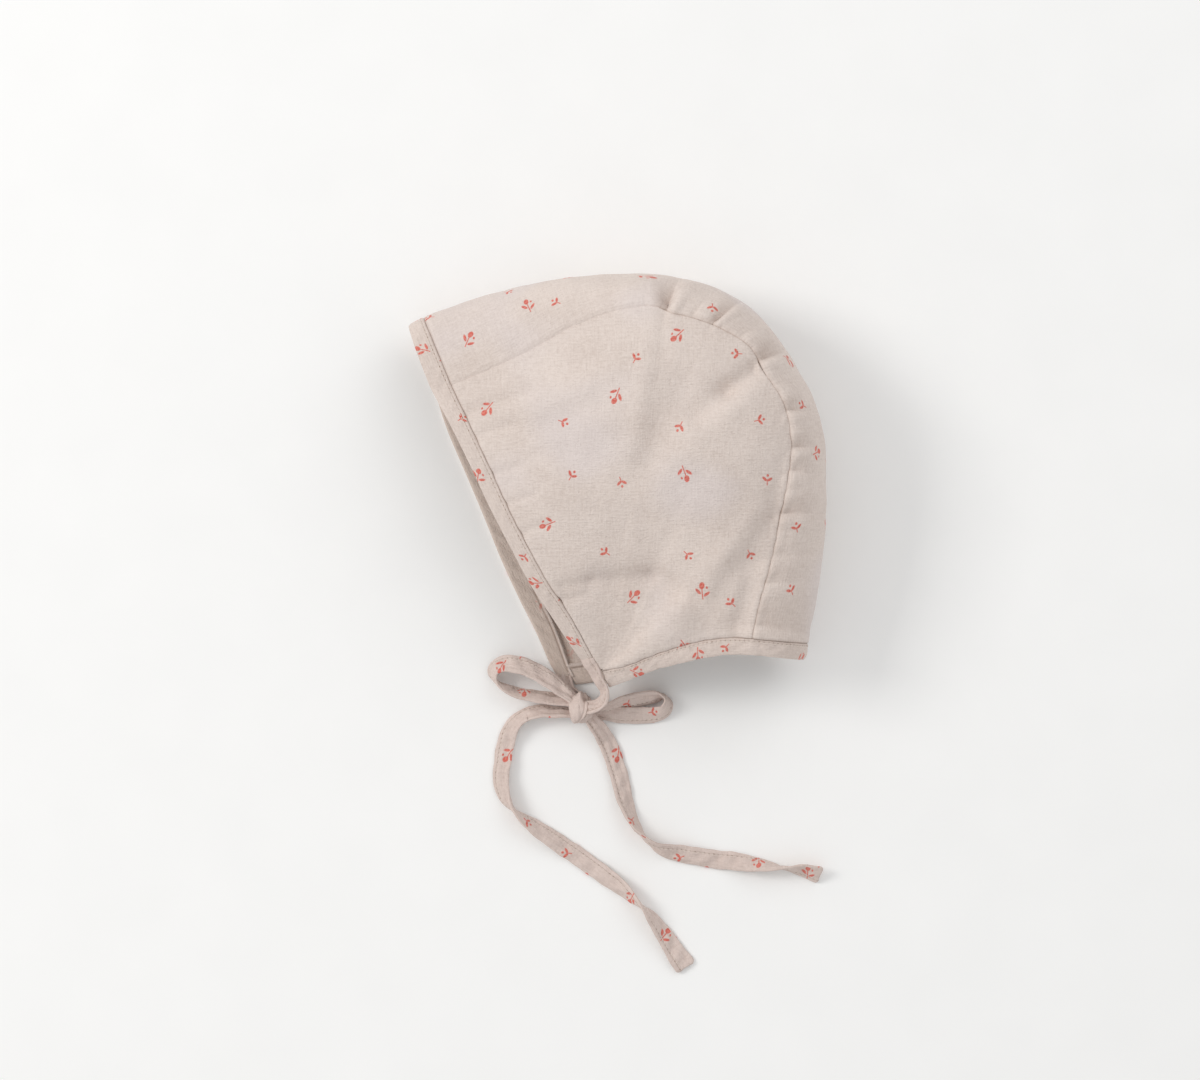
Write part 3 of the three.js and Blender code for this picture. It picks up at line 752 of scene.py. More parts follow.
def random_waves(count, shortest, longest, middle=0.0, spread=math.pi):
    """Waves for ripples: their ways lie about a middle angle."""
    angles = middle + SPREAD.uniform(-spread, spread, count)
    return list(zip(angles, SPREAD.uniform(shortest, longest, count), SPREAD.uniform(0, math.tau, count)))


def crowded(count, reach=0.012, crowd=5.0):
    """Numbers from 0 to 1, much closer together within reach of both ends."""
    f = np.linspace(0, 1, 4000)
    pace = 1 + crowd * (np.exp(-f / reach) + np.exp((f - 1) / reach))
    total = np.cumsum(pace) - pace[0]
    return np.interp(np.linspace(0, 1, count), total / total[-1], f)


# Meshes

def ring_quads(rows, ring, wide):
    """Quads of a tube of closed rings, with both ends closed by quads that join each ring's two halves. Their
    corners are places in an array as wide as a ring, or one wider for a map that wraps."""
    i = np.arange(rows - 1)[:, None] * wide
    j = np.arange(ring)[None]
    k = (j + 1) % wide
    sides = np.stack([i + j, i + k, i + wide + k, i + wide + j], -1).reshape(-1, 4)
    h = np.arange(ring // 2 - 1)
    first = np.stack([h + 1, h, ring - 1 - h, ring - 2 - h], -1)
    last = first[:, ::-1] + (rows - 1) * wide
    return np.concatenate([sides, first, last])


def solid_volume(points, faces):
    """Six times the volume that quads enclose, below 0 if they are inside out."""
    a, b, c, d = (points[faces[:, k]] for k in range(4))
    return (a * (np.cross(b, c) + np.cross(c, d))).sum()


def make_mesh(name, points, faces, corner_uv, marks, material):
    """An object from quads, with its cloth map and a number for each vertex under each mark's name."""
    if solid_volume(points, faces) < 0:
        faces = faces[:, ::-1]
        corner_uv = corner_uv[:, ::-1]
    mesh = bpy.data.meshes.new(name)
    mesh.vertices.add(len(points))
    mesh.vertices.foreach_set("co", (points * MM).astype(np.float32).ravel())
    mesh.loops.add(faces.size)
    mesh.loops.foreach_set("vertex_index", faces.astype(np.int32).ravel())
    mesh.polygons.add(len(faces))
    mesh.polygons.foreach_set("loop_start", np.arange(0, faces.size, 4, dtype=np.int32))
    mesh.polygons.foreach_set("loop_total", np.full(len(faces), 4, dtype=np.int32))
    mesh.polygons.foreach_set("use_smooth", np.ones(len(faces), dtype=bool))
    mesh.update(calc_edges=True)
    layer = mesh.uv_layers.new(name="cloth")
    layer.data.foreach_set("uv", corner_uv.astype(np.float32).ravel())
    for mark, values in marks.items():
        numbers = mesh.attributes.new(mark, "FLOAT", "POINT")
        numbers.data.foreach_set("value", np.asarray(values, np.float32).ravel())
    mesh.materials.append(material)
    return put(name, mesh)


def there_and_back(outer, inner):
    """Rings that run over an outer face and back over the inner one."""
    return np.concatenate([outer, inner[:, ::-1]], 1)


def make_tube(name, rings, uv, marks, material):
    """A closed piece from rings of points (rows, ring, 3) and a cloth map (rows, ring + 1, 2)."""
    rows, ring = rings.shape[:2]
    faces = ring_quads(rows, ring, ring)
    corner_uv = uv.reshape(-1, 2)[ring_quads(rows, ring, ring + 1)]
    return make_mesh(name, rings.reshape(-1, 3), faces, corner_uv, marks, material)


def make_wall(name, grid, out, thick, uv, shade, material, shade_within=0.0):
    """A cloth wall: its outer face stands SKIN proud of the grid and its inner face lies thick below that.
    Each ring runs over the outer face and back over the inner one. shade is the darkness of its seam lines,
    partly painted shade, and the painted shade in its puckers, and shade_within the painted shade on its
    inner face."""
    outer = grid + out * SKIN
    inner = grid + out * (SKIN - thick)
    rings = there_and_back(outer, inner)
    wrapped = np.concatenate([uv, uv[:, ::-1], uv[:, :1]], 1)
    plain = np.zeros(uv.shape[:2])
    marks = {
        "wrong_side_and_shade": there_and_back(plain, plain + 1),
        "seams_and_painted_shade": there_and_back(shade + plain, shade_within + plain),
    }
    return make_tube(name, rings, wrapped, marks, material)


# Shape of the cloth

def seam_at(s):
    return along(CROWN, s)[..., 3:]


def flat_seam_at(s):
    seam = seam_at(s)
    seam[..., 2] = SKIN
    return seam


def edge_at(rows, r):
    """Points of a panel's edge and the way the band leaves them. A table without heights lies flat on the
    surface."""
    at, out = np.split(along(rows, r), 2, axis=-1)
    if at.shape[-1] == 2:
        flat = np.zeros_like(at[..., :1])
        at, out = np.concatenate([at, flat + SKIN], -1), np.concatenate([out, flat], -1)
    return at, out


def fan_share(corner, seam, s):
    """How far the plan ray from the chin corner to the seam has swung, as a share of its whole swing."""
    rays = (seam(s) - corner)[..., :2]
    ends = (seam(np.array([0.0, 1.0])) - corner)[..., :2]
    swing = np.arctan2(rays[..., 0], rays[..., 1]) - math.atan2(*ends[0])
    return swing / (math.atan2(*ends[1]) - math.atan2(*ends[0]))


def side_grid(front, neck, seam, s, r):
    """A side panel spreads like a fan from its chin corner (r = 0) to the seam (r = 1), and from its front
    edge (s = 0) to its neck edge (s = 1)."""
    share = fan_share(edge_at(front, np.array([0.0]))[0][0], seam, s)
    straight = mix(*seam(np.array([0.0, 1.0])), share[:, None])
    grid = mix(edge_at(front, r)[0][:, None], edge_at(neck, r)[0][:, None], share[:, None])
    return grid + r[:, None, None] * (seam(s) - straight), share


def groove(x, y, table):
    """The summed depth of valleys, each a bell curve about a line from one point to another."""
    depth = np.zeros_like(x)
    for from_x, from_y, to_x, to_y, deep, half in table:
        run = np.array([to_x - from_x, to_y - from_y])
        share = np.clip(((x - from_x) * run[0] + (y - from_y) * run[1]) / (run @ run), 0, 1)
        depth += deep * hump(np.hypot(x - from_x - share * run[0], y - from_y - share * run[1]), half)
    return depth


def upper_side(s, r):
    """The upper panel: the fan, raised into a dome less its soft valleys."""
    grid, share = side_grid(FRONT_UPPER, NECK_UPPER, seam_at, s, r)
    rise = np.sin(np.pi * share) * np.sin(np.pi * r ** 1.5)[:, None]
    grid[..., 2] += rise * (DOME - groove(grid[..., 0], grid[..., 1], VALLEYS))
    return grid


def strip_grid(s, turn):
    """The strip turns over from the upper seam (turn = 0) round the rim to the lower seam (turn = 1)."""
    rows = along(CROWN, s)
    rim, seam = rows[:, None, :3], rows[:, None, 3:]
    angle = np.pi * turn
    rise = np.where(angle < np.pi / 2, seam[..., 2] - rim[..., 2], rim[..., 2] - SKIN)
    grid = seam + (rim - seam) * np.sin(angle)[..., None]
    grid[..., 2] = rim[..., 2] + rise * np.cos(angle)
    return grid


def fold_profile(aside):
    """Across a pucker: it falls softly to its fold and rises steeply on its far side to a swell."""
    return np.where(aside < 0, hump(aside, 2.2), hump(aside, 0.75)) - 0.4 * hump(aside - 2.0, 1.2)


def painted_shade_profile(aside):
    """The painted shade across a pucker: soft on its falling side and sharp at its fold."""
    return 0.6 * np.where(aside < 0, hump(aside, 0.8), hump(aside, 0.3)) + 0.7 * hump(aside + 1.8, 1.9)


def puckered(length, turn, places, profile):
    """The strip's puckers: each starts at the upper seam, and slants and fades across. length is the way
    along the seam in mm."""
    total = 0
    for (_, deep, half, reach, slant), place in zip(PUCKERS, places):
        aside = (length - place - slant * turn / reach) / (half * (1 + 0.9 * turn / reach))
        total = total + deep * profile(aside) * np.exp(-(turn / reach) ** 2 * 1.6)
    return total


def seam_roll(distance, deep, swell):
    """Relief beside a seam: the cloth dips into the seam and swells a little 2 mm from it."""
    return swell * hump(distance - 2.0, 1.4) - deep * hump(distance, 0.5)


def crown_seam(s):
    """How sharp the crown's seam is: pressed flat towards the forehead, and a crisp line round the back."""
    return 0.08 + 0.92 * np.clip((s - 0.17) / 0.1, 0, 1)


FINE = 400                # points of a seam from which distances are measured
CREASE_WAVES = random_waves(7, 20, 46, middle=1.9, spread=0.55)
CROSS_WAVES = random_waves(6, 10, 22)
SMALL_WAVES = random_waves(9, 4.5, 9)
PUCKER_PLACES = [row[0] for row in PUCKERS]
NEAR_MESH = (180, 225)    # rows and columns of each panel's mesh
FAR_MESH = (80, 120)
STRIP_MESH = (470, 100)
SEAM_LINE = 0.36          # half width of the dark line in a seam


def make_upper_panel():
    """The upper side panel, with its valleys, creases and the dip along each of its three seams."""
    s = crowded(NEAR_MESH[1], crowd=3.0)
    r = mix(CORNER, 1, crowded(NEAR_MESH[0], reach=0.01))
    grid = upper_side(s, r)
    x, y = grid[..., 0], grid[..., 1]
    fine = np.linspace(0, 1, FINE)
    crown = distance_to(grid, seam_at(fine))
    front = distance_to(grid, edge_at(FRONT_UPPER, fine)[0])
    neck = distance_to(grid, edge_at(NECK_UPPER, fine)[0])
    free = 1 - hump(np.minimum(crown, np.minimum(front, neck)), 9)
    sharp = crown_seam(s)
    relief = (0.6 * ripples(x, y, CREASE_WAVES) + 0.3 * ripples(x, y, CROSS_WAVES)) * free
    relief += 0.08 * ripples(x, y, SMALL_WAVES)
    relief -= groove(x, y, CREASES) * np.minimum(1, crown / 4 + 0.3)
    relief += seam_roll(crown, 0.45 * sharp, 0.12) + seam_roll(front, 0.4, 0.1) + seam_roll(neck, 0.35, 0.25)
    along_seam = arc_length(seam_at(s))
    places = np.interp(PUCKER_PLACES, s, along_seam)
    drawn = EASED * puckered(along_seam, 0.0, places, fold_profile) * hump(crown, DRAWN)
    relief += np.sin(x * 0.9 + y * 0.7) * hump(crown, 4) * 0.14 * sharp
    relief += np.sin(y * 1.1 + x * 0.3) * hump(front, 4) * 0.1 + np.sin(x) * hump(neck, 4.5) * 0.14
    grid = grid + outward(grid) * relief[..., None]
    grid[..., 2] -= drawn
    # dark seam lines, partly painted shade in the dips along the seams
    shade = 0.75 * hump(crown, SEAM_LINE) * sharp ** 2 + 0.8 * hump(front, SEAM_LINE)
    shade = np.minimum(shade + 0.5 * hump(neck, SEAM_LINE), 1)
    uv = grid[..., :2] + [7.0, 3.0]
    return make_wall("side_panel_near", grid, outward(grid), CLOTH, uv, shade, PANEL_COTTON)


def make_lower_panel():
    """The lower side panel, flat on the surface, with a little relief on its inner face."""
    s = np.linspace(0, 1, FAR_MESH[1])
    r = mix(CORNER, 1, crowded(FAR_MESH[0]))
    grid = side_grid(FRONT_LOWER, NECK_LOWER, flat_seam_at, s, r)[0]
    x, y = grid[..., 0], grid[..., 1]
    relief = 0.35 + 0.35 * ripples(x, y, CREASE_WAVES) + 0.1 * ripples(x, y, SMALL_WAVES)
    out = np.zeros_like(grid)
    out[..., 2] = -1
    uv = grid[..., :2] * [1, -1]
    front = distance_to(grid, edge_at(FRONT_LOWER, np.linspace(0, 1, FINE))[0])
    # painted shade on the inner face beside the binding, where the hollow lies in shadow
    painted_shade = 0.55 * hump(front - BAND_REACH, 1.4)
    return make_wall("side_panel_far", grid, out, CLOTH + relief[..., None], uv, 0.0, PANEL_COTTON, painted_shade)


def make_strip():
    """The centre panel, from forehead to nape: puckers, soft swells and the dips along its four edges. It
    meets the surface flat."""
    s = np.linspace(0, 1, STRIP_MESH[0])
    turn = crowded(STRIP_MESH[1], reach=0.014)
    grid = strip_grid(s, turn)
    length = arc_length(seam_at(s))[:, None]
    places = np.interp(PUCKER_PLACES, s, length[:, 0])
    across = arc_length(grid, axis=1)
    far = across[:, -1:] - across
    ends = np.minimum(length, length[-1] - length)
    sharp = crown_seam(s)[:, None]
    depth = puckered(length, turn, places, fold_profile)
    drawn = EASED * puckered(length, 0.0, places, fold_profile) * hump(across, DRAWN)
    relief = -depth * (1 - hump(across, 1.8))
    relief -= 0.4 * puckered(length + 5.0, 1 - turn, places, fold_profile)
    relief += 0.32 * ripples(length, across, CROSS_WAVES) + 0.08 * ripples(length, across, SMALL_WAVES)
    relief += seam_roll(across, 0.4 * sharp, 0.3) + seam_roll(far, 0.4, 0.3)
    relief += seam_roll(ends, 0.5, 0.15)
    relief += np.sin(length * 1.2) * hump(across, 4) * 0.12 * sharp
    low = np.clip((grid[..., 2] - 1.2) / 6, 0, 1)
    grid = grid + outward(grid) * (relief * low)[..., None]
    grid[..., 2] -= drawn
    flat = np.clip((turn - 0.96) / 0.04, 0, 1)[:, None]
    out = unit(outward(grid) * (1 - flat) - UP * flat)
    # painted shade on each pucker's falling side and in its fold, with the dark seam lines, partly painted
    # shade, along the strip's edges
    painted_shade = np.clip(0.17 * puckered(length, turn, places, painted_shade_profile) - 0.03, 0, 1)
    shade = 0.7 * hump(across, 0.35) * sharp ** 2 + 0.8 * hump(ends, 0.4) + painted_shade
    uv = np.stack([length + 0 * across, across], -1)
    return make_wall("centre_strip", grid, out, CLOTH, uv, np.minimum(shade, 1), PANEL_COTTON)


# Bands: the binding round the face and the hem round the neck

BAND_ACROSS = 22          # points over each face of a band
BAND_REACH = 2.3          # how far a band reaches past its seam on the lower panel's inner side
BAND_PITCH = 0.62         # between a band's rings
PUFF = 0.3                # how far a band's outer face is puffed up
RIDGE = 0.9               # height of the edge of its inner face
TURNS = np.linspace(0, 1, 110)[1:-1]


def band_path(front, turn_out, strip_end, lower, extra):
    """The edge that a band follows: up the upper panel, round the strip's end and back down the lower panel,
    as points and the way the band leaves each of them."""
    r = np.linspace(CORNER, 1, 200)
    up_at, up_out = edge_at(front, r)
    down_at, down_out = edge_at(lower, r[::-1])
    over_at = strip_grid(np.array([float(strip_end)]), TURNS)[0]
    swing = np.sin(np.pi * TURNS[:, None]) ** 2
    side = np.where(TURNS[:, None] < 0.5, up_out[-1], down_out[0])
    over_out = mix(side, np.array(turn_out), swing)
    at = np.concatenate([up_at, over_at, down_at] + [e[0] for e in extra])
    out = np.concatenate([up_out, over_out, down_out] + [e[1] for e in extra])
    return at, out


def evenly_along(at, out, step):
    """The same path at even steps, smoothed a little."""
    length = arc_length(at)
    count = int(length[-1] / step)
    even = np.linspace(0, length[-1], count)
    columns = np.concatenate([at, out], 1)
    kernel = np.hanning(9)
    kernel /= kernel.sum()
    padded = np.pad(columns, ((4, 4), (0, 0)), "reflect", reflect_type="odd")
    smooth = np.stack([np.convolve(c, kernel, "valid") for c in padded.T], 1)
    found = read_off(even, length, smooth)
    return found[:, :3], found[:, 3:], even


def make_band(name, at, out, facing_up, material, pleats, seed):
    """A turned band: over its puffed outer face, round the fold at its free edge, and back over its inner
    face, which ends in a small raised edge."""
    at, out, length = evenly_along(at, out, BAND_PITCH)
    up = unit(np.cross(np.gradient(at, axis=0), out)) * facing_up
    width = np.linalg.norm(out, axis=1)
    way = out / width[:, None]
    share = (1 - np.cos(np.pi * (np.arange(BAND_ACROSS) + 0.35) / BAND_ACROSS)) / 2
    aside = share * width[:, None]
    along_band = length[:, None]
    round_edge = np.sqrt(1 - (2 * share - 1) ** 10)
    top = (SKIN + PUFF * np.sin(np.pi * share)) * round_edge - 0.3 * hump(share, 0.06)
    raised = 1 / (1 + np.exp(-(share - 0.08) * 60))
    base = -(SKIN + FOLD * raised + RIDGE * hump(share - 0.1, 0.09)) * round_edge
    on_lower = np.clip((along_band / length[-1] - 0.48) / 0.08, 0, 1)
    aside_within = aside - BAND_REACH * (1 - share) * on_lower
    waves = ripples(along_band, aside * 2.2, random_waves(6, 5, 14))
    slant = ripples(along_band + aside * 1.4, aside, [(0.0, 7.3, seed), (0.25, 11.1, 1.7 * seed)])
    relief = (0.2 * waves + 0.2 * slant) * np.sin(np.pi * np.clip(share, 0.04, 1))
    relief = relief - 0.14 * hump(aside - BAND_ROW, 0.5) * (1 + 0.8 * np.sin(along_band * 1.9 + seed))
    for place, deep, half in pleats:
        relief -= deep * hump(along_band - place - aside * 0.5, half) * np.clip(share * 3, 0, 1)
    outer = laid_out(at, way, up, aside, top + relief)
    inner = laid_out(at, way, up, aside_within, base + relief)
    rings = there_and_back(outer, inner)
    rings[..., 2] = np.maximum(rings[..., 2], 0.0)
    over = arc_length(outer, axis=1)
    back = over[:, -1:] + CLOTH + arc_length(inner[:, ::-1], axis=1)
    v = np.concatenate([over, back, back[:, -1:] + CLOTH], 1)
    uv = np.stack([along_band + 0 * v, v], -1)
    # painted shadow of the band's edge along its seam on the outer face; on the inner face, painted shade
    # beyond the lit ridge and a painted shade line beside the ridge
    shade = 0.6 * hump(aside, 0.3)
    shadowed = np.clip(share * 6 - 1.2, 0, 1.3) + 0 * aside
    stitched = 0.85 * hump(aside_within - 0.1, 0.45)
    marks = {
        "wrong_side_and_shade": there_and_back(0 * aside, shadowed),
        "seams_and_painted_shade": there_and_back(shade, stitched),
    }
    thing = make_tube(name, rings, uv, marks, material)
    face = {"at": at, "way": way, "up": up, "width": width, "share": share, "height": top + relief}
    return thing, face


def on_band(band, aside):
    """The line on a band's outer face that lies aside mm from its inner edge."""
    share = aside / band["width"]
    k = np.interp(share, band["share"], np.arange(len(band["share"])))
    low = np.clip(k.astype(int), 0, len(band["share"]) - 2)
    f = k - low
    rows = np.arange(len(share))
    height = band["height"]
    lift = mix(height[rows, low], height[rows, low + 1], f)
    return band["at"] + band["way"] * aside + band["up"] * lift[:, None], band["up"]


# Stitches

STITCH_SINK = 0.16        # how deep a stitch's ends go
STITCH_LIFT = 0.03        # how far its middle line stands up
CAPSULE_SIDES = 6
CAPSULE = [
    # share of the length, share of the thickness
    [-1.0, 0.2],
    [-0.75, 0.85],
    [0.0, 1.0],
    [0.75, 0.85],
    [1.0, 0.2],
]


def make_stitches(name, runs):
    """Rows of stitches: on each line, short rounded lengths of thread, one to a pitch, sunk at their ends.
    Those that lie on the surface are pressed up until they are level with it."""
    points, faces = [], []
    base = 0
    for line, up in runs:
        length = arc_length(line)
        places = np.arange(STITCH_PITCH / 2, length[-1] - STITCH_PITCH / 2, STITCH_PITCH)
        centre = read_off(places, length, line)
        ahead = unit(read_off(places, length, np.gradient(line, axis=0)))
        over = unit(read_off(places, length, up))
        side = unit(np.cross(ahead, over))
        x, thick = np.array(CAPSULE).T
        angle = np.arange(CAPSULE_SIDES) * math.tau / CAPSULE_SIDES
        reach = x[:, None] * STITCH_LENGTH / 2 + 0 * angle
        width = thick[:, None] * np.cos(angle) * THREAD / 2
        lift = thick[:, None] * np.sin(angle) * THREAD / 2
        lift = lift - STITCH_SINK * np.abs(x[:, None]) ** 3 + STITCH_LIFT
        reach, width, lift = (part[..., None, None] for part in (reach, width, lift))
        stitch = (reach * ahead + width * side + lift * over + centre).transpose(2, 0, 1, 3)
        stitch[..., 2] -= np.minimum(stitch[..., 2].min((1, 2)), 0)[:, None, None]
        each = len(CAPSULE) * CAPSULE_SIDES
        points.append(stitch.reshape(-1, 3))
        quads = ring_quads(len(CAPSULE), CAPSULE_SIDES, CAPSULE_SIDES)
        faces.append((quads[None] + each * np.arange(len(places))[:, None, None]).reshape(-1, 4) + base)
        base += each * len(places)
    points = np.concatenate(points)
    faces = np.concatenate(faces)
    corner_uv = np.zeros(faces.shape + (2,))
    return make_mesh(name, points, faces, corner_uv, {}, THREAD_LOOK)


# Ties

TIE_ACROSS = 19           # points over each face of a tie
TIE_PITCH = 0.55          # between a tie's rings
FLARE = 0.2               # how much wider a free end is, as a share
TIE_BEND = 0.62           # how far a tie bends out of its plane
TIE_DENT = 0.26           # depth of the soft dents beside its seam
TIE_UNEVEN = 0.24         # how far its edges wander
LOWEST = 0.02             # height of the lowest place on a tie
AHEAD = 0.004             # share of a tie over which its way is measured


def tie_rings(rows, seed, folds, seam_side, free_end):
    """A flat tie along a table's rows: rounded edges, a pressed line where it is stitched, soft swells and
    dents, and pleats along it where it is gathered. Gives its rings and what its stitches need."""
    fine = np.linspace(0, 1, 1200)
    length = arc_length(tie_middle(rows, fine)[0])
    travel = np.linspace(0, length[-1], int(length[-1] / TIE_PITCH))[:, None]
    to_end = length[-1] - travel
    f = np.interp(travel[:, 0], length, fine)
    at, angle, width, gather = tie_middle(rows, f)
    behind, ahead = np.maximum(f - AHEAD, 0), np.minimum(f + AHEAD, 1)
    run = unit(tie_middle(rows, ahead)[0] - tie_middle(rows, behind)[0])
    wide = unit(np.cross(UP, run)) * np.cos(angle) + UP * np.sin(angle)
    wide = unit(wide - run * (wide * run).sum(1, keepdims=True))
    thick = unit(np.cross(run, wide))
    w = -np.cos(np.pi * (np.arange(TIE_ACROSS) + 0.3) / (TIE_ACROSS - 0.4))
    edge = np.sqrt(1 - np.abs(w) ** 9)
    if free_end:
        width = width * (1 + FLARE * hump(to_end, 9.0))
    edge_waves = [(0.4, 11.0, seed), (-0.5, 17.0, seed + 1), (0.1, 7.0, seed + 2)]
    aside = w * width / 2 + TIE_UNEVEN * ripples(travel, w * 2, edge_waves) * np.abs(w) ** 3
    from_seam = (1 + w * seam_side) * width / 2 - TIE_SEAM * gather
    relief = 0.14 * (1 - w ** 2) - 0.2 * hump(from_seam, 0.4) * (1 + 0.5 * np.sin(travel * 1.7 + seed))
    relief = relief - TIE_DENT * hump(from_seam - 1.5, 1.0) * np.sin(travel * 0.9 + 2 * seed)
    pleat = (1 - gather) * 1.5 * np.cos(w * 2.6 * math.pi + seed)
    waves = [(0.5, 7.5, seed), (-0.6, 12.0, 2 * seed + 1), (0.2, 21.0, seed + 2), (0.9, 5.2, 3 * seed)]
    bend = TIE_BEND * ripples(travel, aside * 0.9, waves)
    for start, stop, from_w, to_w, deep, narrow in folds:
        share = np.clip((travel - start) / (stop - start), 0, 1)
        window = np.sin(np.pi * np.clip(share * 0.92 + 0.04, 0, 1)) ** 0.5
        pleat = pleat - deep * hump(aside - mix(from_w, to_w, share) * width / 2, narrow) * window
    if free_end:
        pleat = pleat + 0.3 * np.sin(w * 2.2 + seed) * hump(to_end, 6.0)
    middle = laid_out(at, wide, thick, aside, (bend + pleat) * (1 - np.abs(w) ** 4))
    half = TIE_THICK / 2 * edge
    if free_end:
        drawn_in = np.clip((np.abs(w) - 0.6) / 0.4, 0, 1) ** 2 * 1.3 + 0.25 * np.sin(w * 3 + seed)
        middle = middle - run[:, None] * (drawn_in * hump(to_end, 1.5))[..., None]
        half = half * np.clip(to_end / 0.7, 0.15, 1) ** 0.5
    body = thick[:, None] * (half + relief * edge)[..., None]
    top, base = middle + body, middle - body
    rings = there_and_back(top, base)
    rings[..., 2] = np.maximum(rings[..., 2], LOWEST)
    across = (w * seam_side + 1) / 2 * TIE_WIDTH + 0 * travel
    v = np.concatenate([across, 2 * TIE_WIDTH - across[:, ::-1], across[:, :1]], 1)
    uv = np.stack([travel + 0 * v, v], -1)
    k = int(np.argmin(np.abs(across[0] - TIE_SEAM)))
    lines = [(top[:, k], thick), (base[:, k], -thick)]
    return rings, uv, lines, length[-1]


def tie_middle(rows, f):
    """A tie's middle line, the angle of its width and its width there. It lies on the surface where no
    greater height is given: half its width stands up by the sine of the roll."""
    x, y, height, roll, gather = np.split(along(rows, f), 5, axis=1)
    angle = np.radians(roll)
    width = TIE_WIDTH * gather
    resting = (width * np.abs(np.sin(angle)) + TIE_THICK * np.abs(np.cos(angle))) / 2 + CLEAR
    return np.concatenate([x, y, np.maximum(height, resting)], 1), angle, width, gather


def make_tie(name, rows, seed, seam_side, free_end, line, material):
    """A tie and the lines of its stitches. line is the strength of the painted shade along them."""
    rings, uv, lines, length = tie_rings(rows, seed, TIE_FOLDS.get(name, []), seam_side, free_end)
    across = uv[:, :-1, 1]
    # painted shade along the row of stitches, where the tie is folded and pressed
    marks = {"wrong_side_and_shade": 0 * across, "seams_and_painted_shade": line * hump(across - TIE_SEAM, 0.3)}
    thing = make_tube(name, rings, uv + np.array([seed * 37.0, 0.0]), marks, material)
    return thing, lines, length


# Knot

def make_knot():
    """The knot: a barrel whose axis runs along the bow, wrapped by the tie. The wrap's stitched edge crosses
    it as a light band that ends in a step, a few soft folds run with it, and it opens in a dark fold at the
    upper right."""
    rows, ring = KNOT_MESH
    f = np.linspace(0.008, 0.992, rows)
    angle = np.pi * (f - 0.5)
    radius = np.cos(angle)[:, None] ** KNOT_FULLNESS
    around = np.linspace(0, math.tau, ring, endpoint=False)
    x = np.sin(angle)[:, None] * KNOT_HALF[0] + 0 * around
    degrees = np.degrees(around)
    edge = 3.5 - 5.2 * np.clip((degrees - 65) / 85, 0, 1.25) ** 2
    past = 1 / (1 + np.exp(-(x - edge) * 5))
    relief = 0.5 - 1.25 * past
    relief -= 0.5 * hump(x - edge + 1.5, 0.4)
    relief -= 0.25 * hump(x + 2.1 - 0.9 * np.cos(around), 0.6)
    relief -= 0.2 * hump(x + 0.3 + 0.4 * np.cos(around), 0.6)
    relief -= 1.9 * hump(x - 2.6, 1.2) * hump(degrees - 44, 17)
    relief += 0.6 * hump(x - 0.9, 1.0) * hump(degrees - 32, 18)
    relief += 0.25 * np.sin(degrees / 23 + x * 1.3)
    y = (radius * KNOT_HALF[1] + relief * radius) * np.cos(around)
    z = (radius * KNOT_HALF[2] + relief * radius) * np.sin(around)
    points = np.stack([*turned(x, y, math.cos(KNOT_TURN), -math.sin(KNOT_TURN)), z], -1) + KNOT_PLACE
    points[..., 2] = np.maximum(points[..., 2], KNOT_LOWEST)
    v = x[:, :1] - edge + TIE_SEAM
    v = np.concatenate([v, v[:, :1]], 1)
    u = np.broadcast_to(np.linspace(0, math.tau, ring + 1) * KNOT_HALF[1], (rows, ring + 1)) + 10.0
    # painted shade under the step at the wrap's edge and in the fold at the upper right
    shade = 0.5 * hump(x - edge - 0.3, 0.3) + 0.6 * hump(x - 2.6, 1.0) * hump(degrees - 44, 15)
    marks = {"wrong_side_and_shade": 0 * x, "seams_and_painted_shade": np.minimum(shade, 1)}
    return make_tube("knot_wrap", points, np.stack([u, v], -1), marks, KNOT_COTTON)


# The bonnet

TIE_FOLDS = {
    # from and to along the tie in mm, place across at each (-1 to 1), depth, half width
    "tie_end_left": [
        [0, 34, 0.1, 0.5, 0.8, 0.8],
        [24, 46, -0.2, 0.4, 0.5, 0.9],
        [70, 92, 0.3, -0.3, 0.4, 1.2],
        [118, 134, 0.4, -0.2, 0.4, 1.2],
    ],
    "tie_end_right": [
        [0, 22, -0.35, -0.5, 0.9, 0.7],
        [2, 18, 0.3, 0.5, 0.6, 0.7],
        [40, 56, 0.4, -0.2, 0.4, 1.2],
        [76, 96, 0.5, 0.1, 0.4, 1.2],
    ],
    "loop_left": [
        [0, 22, 0.2, 0.4, 0.7, 0.8],
        [58, 84, -0.1, 0.2, 0.8, 0.9],
    ],
    "loop_right": [
        [2, 20, -0.1, 0.3, 0.8, 0.8],
        [58, 80, 0.2, 0, 0.7, 0.9],
    ],
}
TIES = [
    # name, node, what it rests on, middle line, seed, side of its seam, free end, painted shade along its
    # stitches, cotton
    ["tie_end_left", "tie_tail_left", "floor", TAIL_LEFT, 1.57, 1, True, 0, TIE_COTTON],
    ["tie_end_right", "tie_tail_right", "floor", TAIL_RIGHT, 2.1, 1, True, 0, TIE_COTTON],
    ["loop_left", "bow_loop_left", "floor", LOOP_LEFT, 3.5, 1, False, 0, TIE_COTTON],
    ["loop_right", "bow_loop_right", "floor", LOOP_RIGHT, 4.55, 1, False, 0, TIE_COTTON],
    ["lead_near", "tie_lead_upper", "knot_wrap", LEAD_UPPER, 5.9, -1, False, 0.75, KNOT_COTTON],
    ["lead_far", "tie_lead_lower", "floor", LEAD_LOWER, 6.1, -1, False, 0.5, KNOT_COTTON],
]
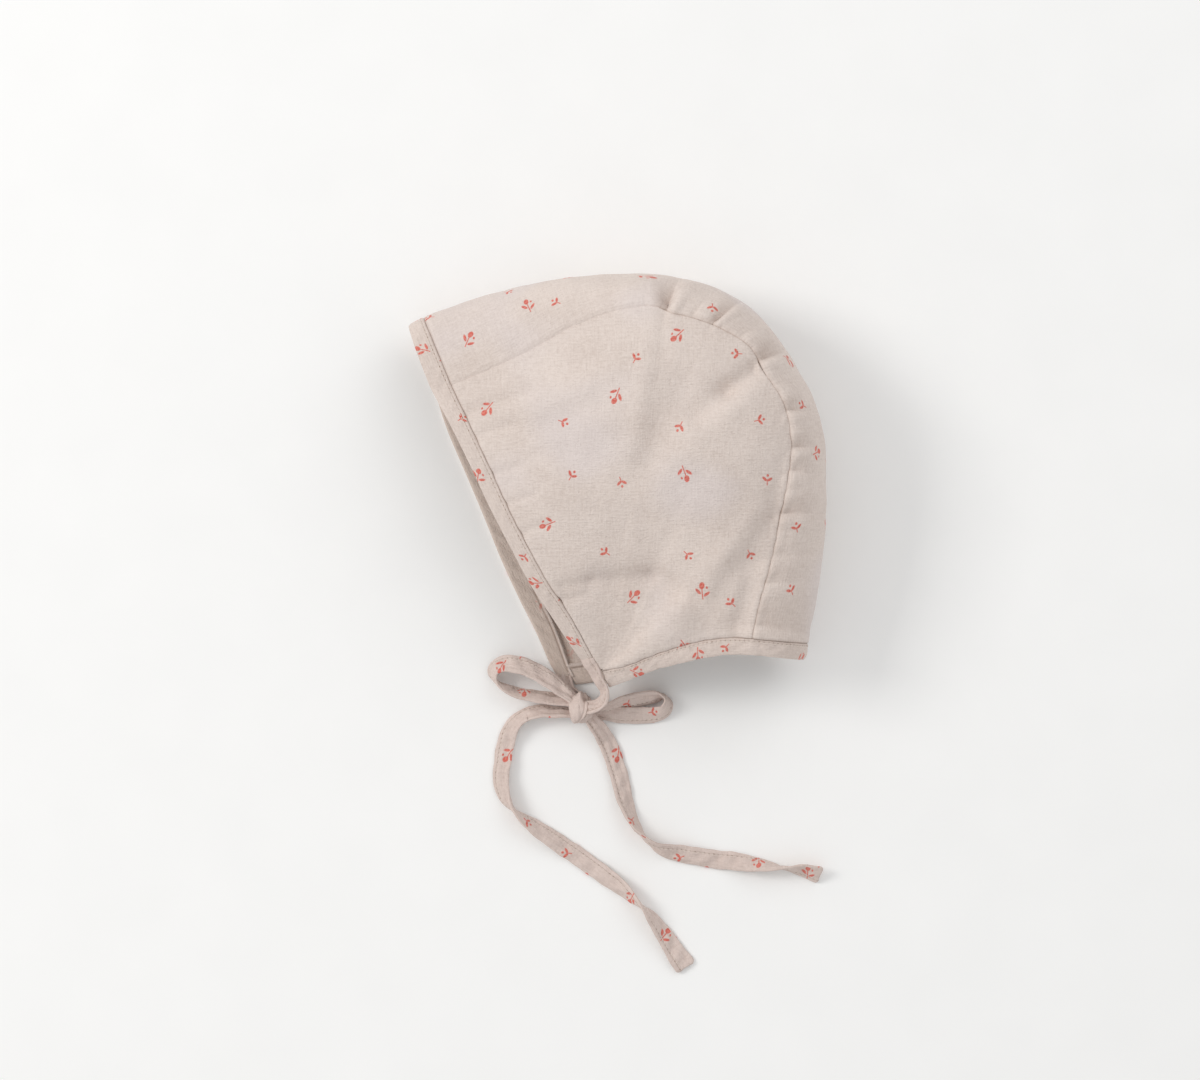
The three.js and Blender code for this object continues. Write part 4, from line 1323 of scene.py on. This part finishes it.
HEM_PLEATS = [
    # place along the hem, depth, half width
    [9, 0.45, 1.6],
    [15, 0.35, 1.2],
    [22, 0.6, 1.4],
    [31, 0.45, 1.2],
    [41, 0.55, 1.5],
    [52, 0.35, 1.2],
    [60, 0.3, 1.3],
    [70, 0.45, 1.6],
]


def dress(thing, node=None):
    """The piece moves with the part, and stands for a node of the frame if one is given."""
    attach(thing, "root")
    if node:
        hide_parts(node)
    return thing


ties, tie_runs = [], []
for name, node, rests_on, *shape in TIES:
    tie, runs, length = make_tie(name, *shape)
    ties.append((dress(tie, node), length, rests_on))
    if name != "lead_far":    # gathered so tightly that its stitches don't show
        tie_runs += runs
knot = dress(make_knot(), "bow_knot")
tie_stitches = dress(make_stitches("tie_stitches", tie_runs))

near_panel = dress(make_upper_panel(), "side_panel_upper")
far_panel = dress(make_lower_panel(), "side_panel_lower")
strip = dress(make_strip(), "centre_panel")

chin = (np.array([[*CHIN_LOWER[:2], SKIN]]), np.array([[*CHIN_LOWER[2:], 0.0]]))
front_path = band_path(FRONT_UPPER, FOREHEAD_OUT, 0, FRONT_LOWER, [chin])
neck_path = band_path(NECK_UPPER, NAPE_OUT, 1, NECK_LOWER, [])
binding, binding_face = make_band("face_binding", *front_path, 1, BAND_COTTON, [], 1.0)
hem, hem_face = make_band("neck_hem", *neck_path, -1, HEM_COTTON, HEM_PLEATS, 2.0)
dress(binding, "front_binding")
dress(hem, "nape_hem")
band_runs = [on_band(binding_face, BAND_ROW), on_band(hem_face, HEM_ROW)]
band_stitches = dress(make_stitches("edge_stitches", band_runs))

floor_mesh = bpy.data.meshes.new("floor")
HALF_FLOOR = 3.0          # in metres
corners = [(x * HALF_FLOOR, y * HALF_FLOOR, 0) for x, y in ((-1, -1), (1, -1), (1, 1), (-1, 1))]
floor_mesh.from_pydata(corners, [], [(0, 1, 2, 3)])
floor_mesh.materials.append(make_floor())
floor = put("floor", floor_mesh)

world = bpy.data.worlds.new("studio")
world.use_nodes = True
sky = world.node_tree.nodes["Background"]
sky.inputs["Color"].default_value = (1.0, 1.0, 1.0, 1.0)
sky.inputs["Strength"].default_value = SKY_LIGHT
bpy.context.scene.world = world
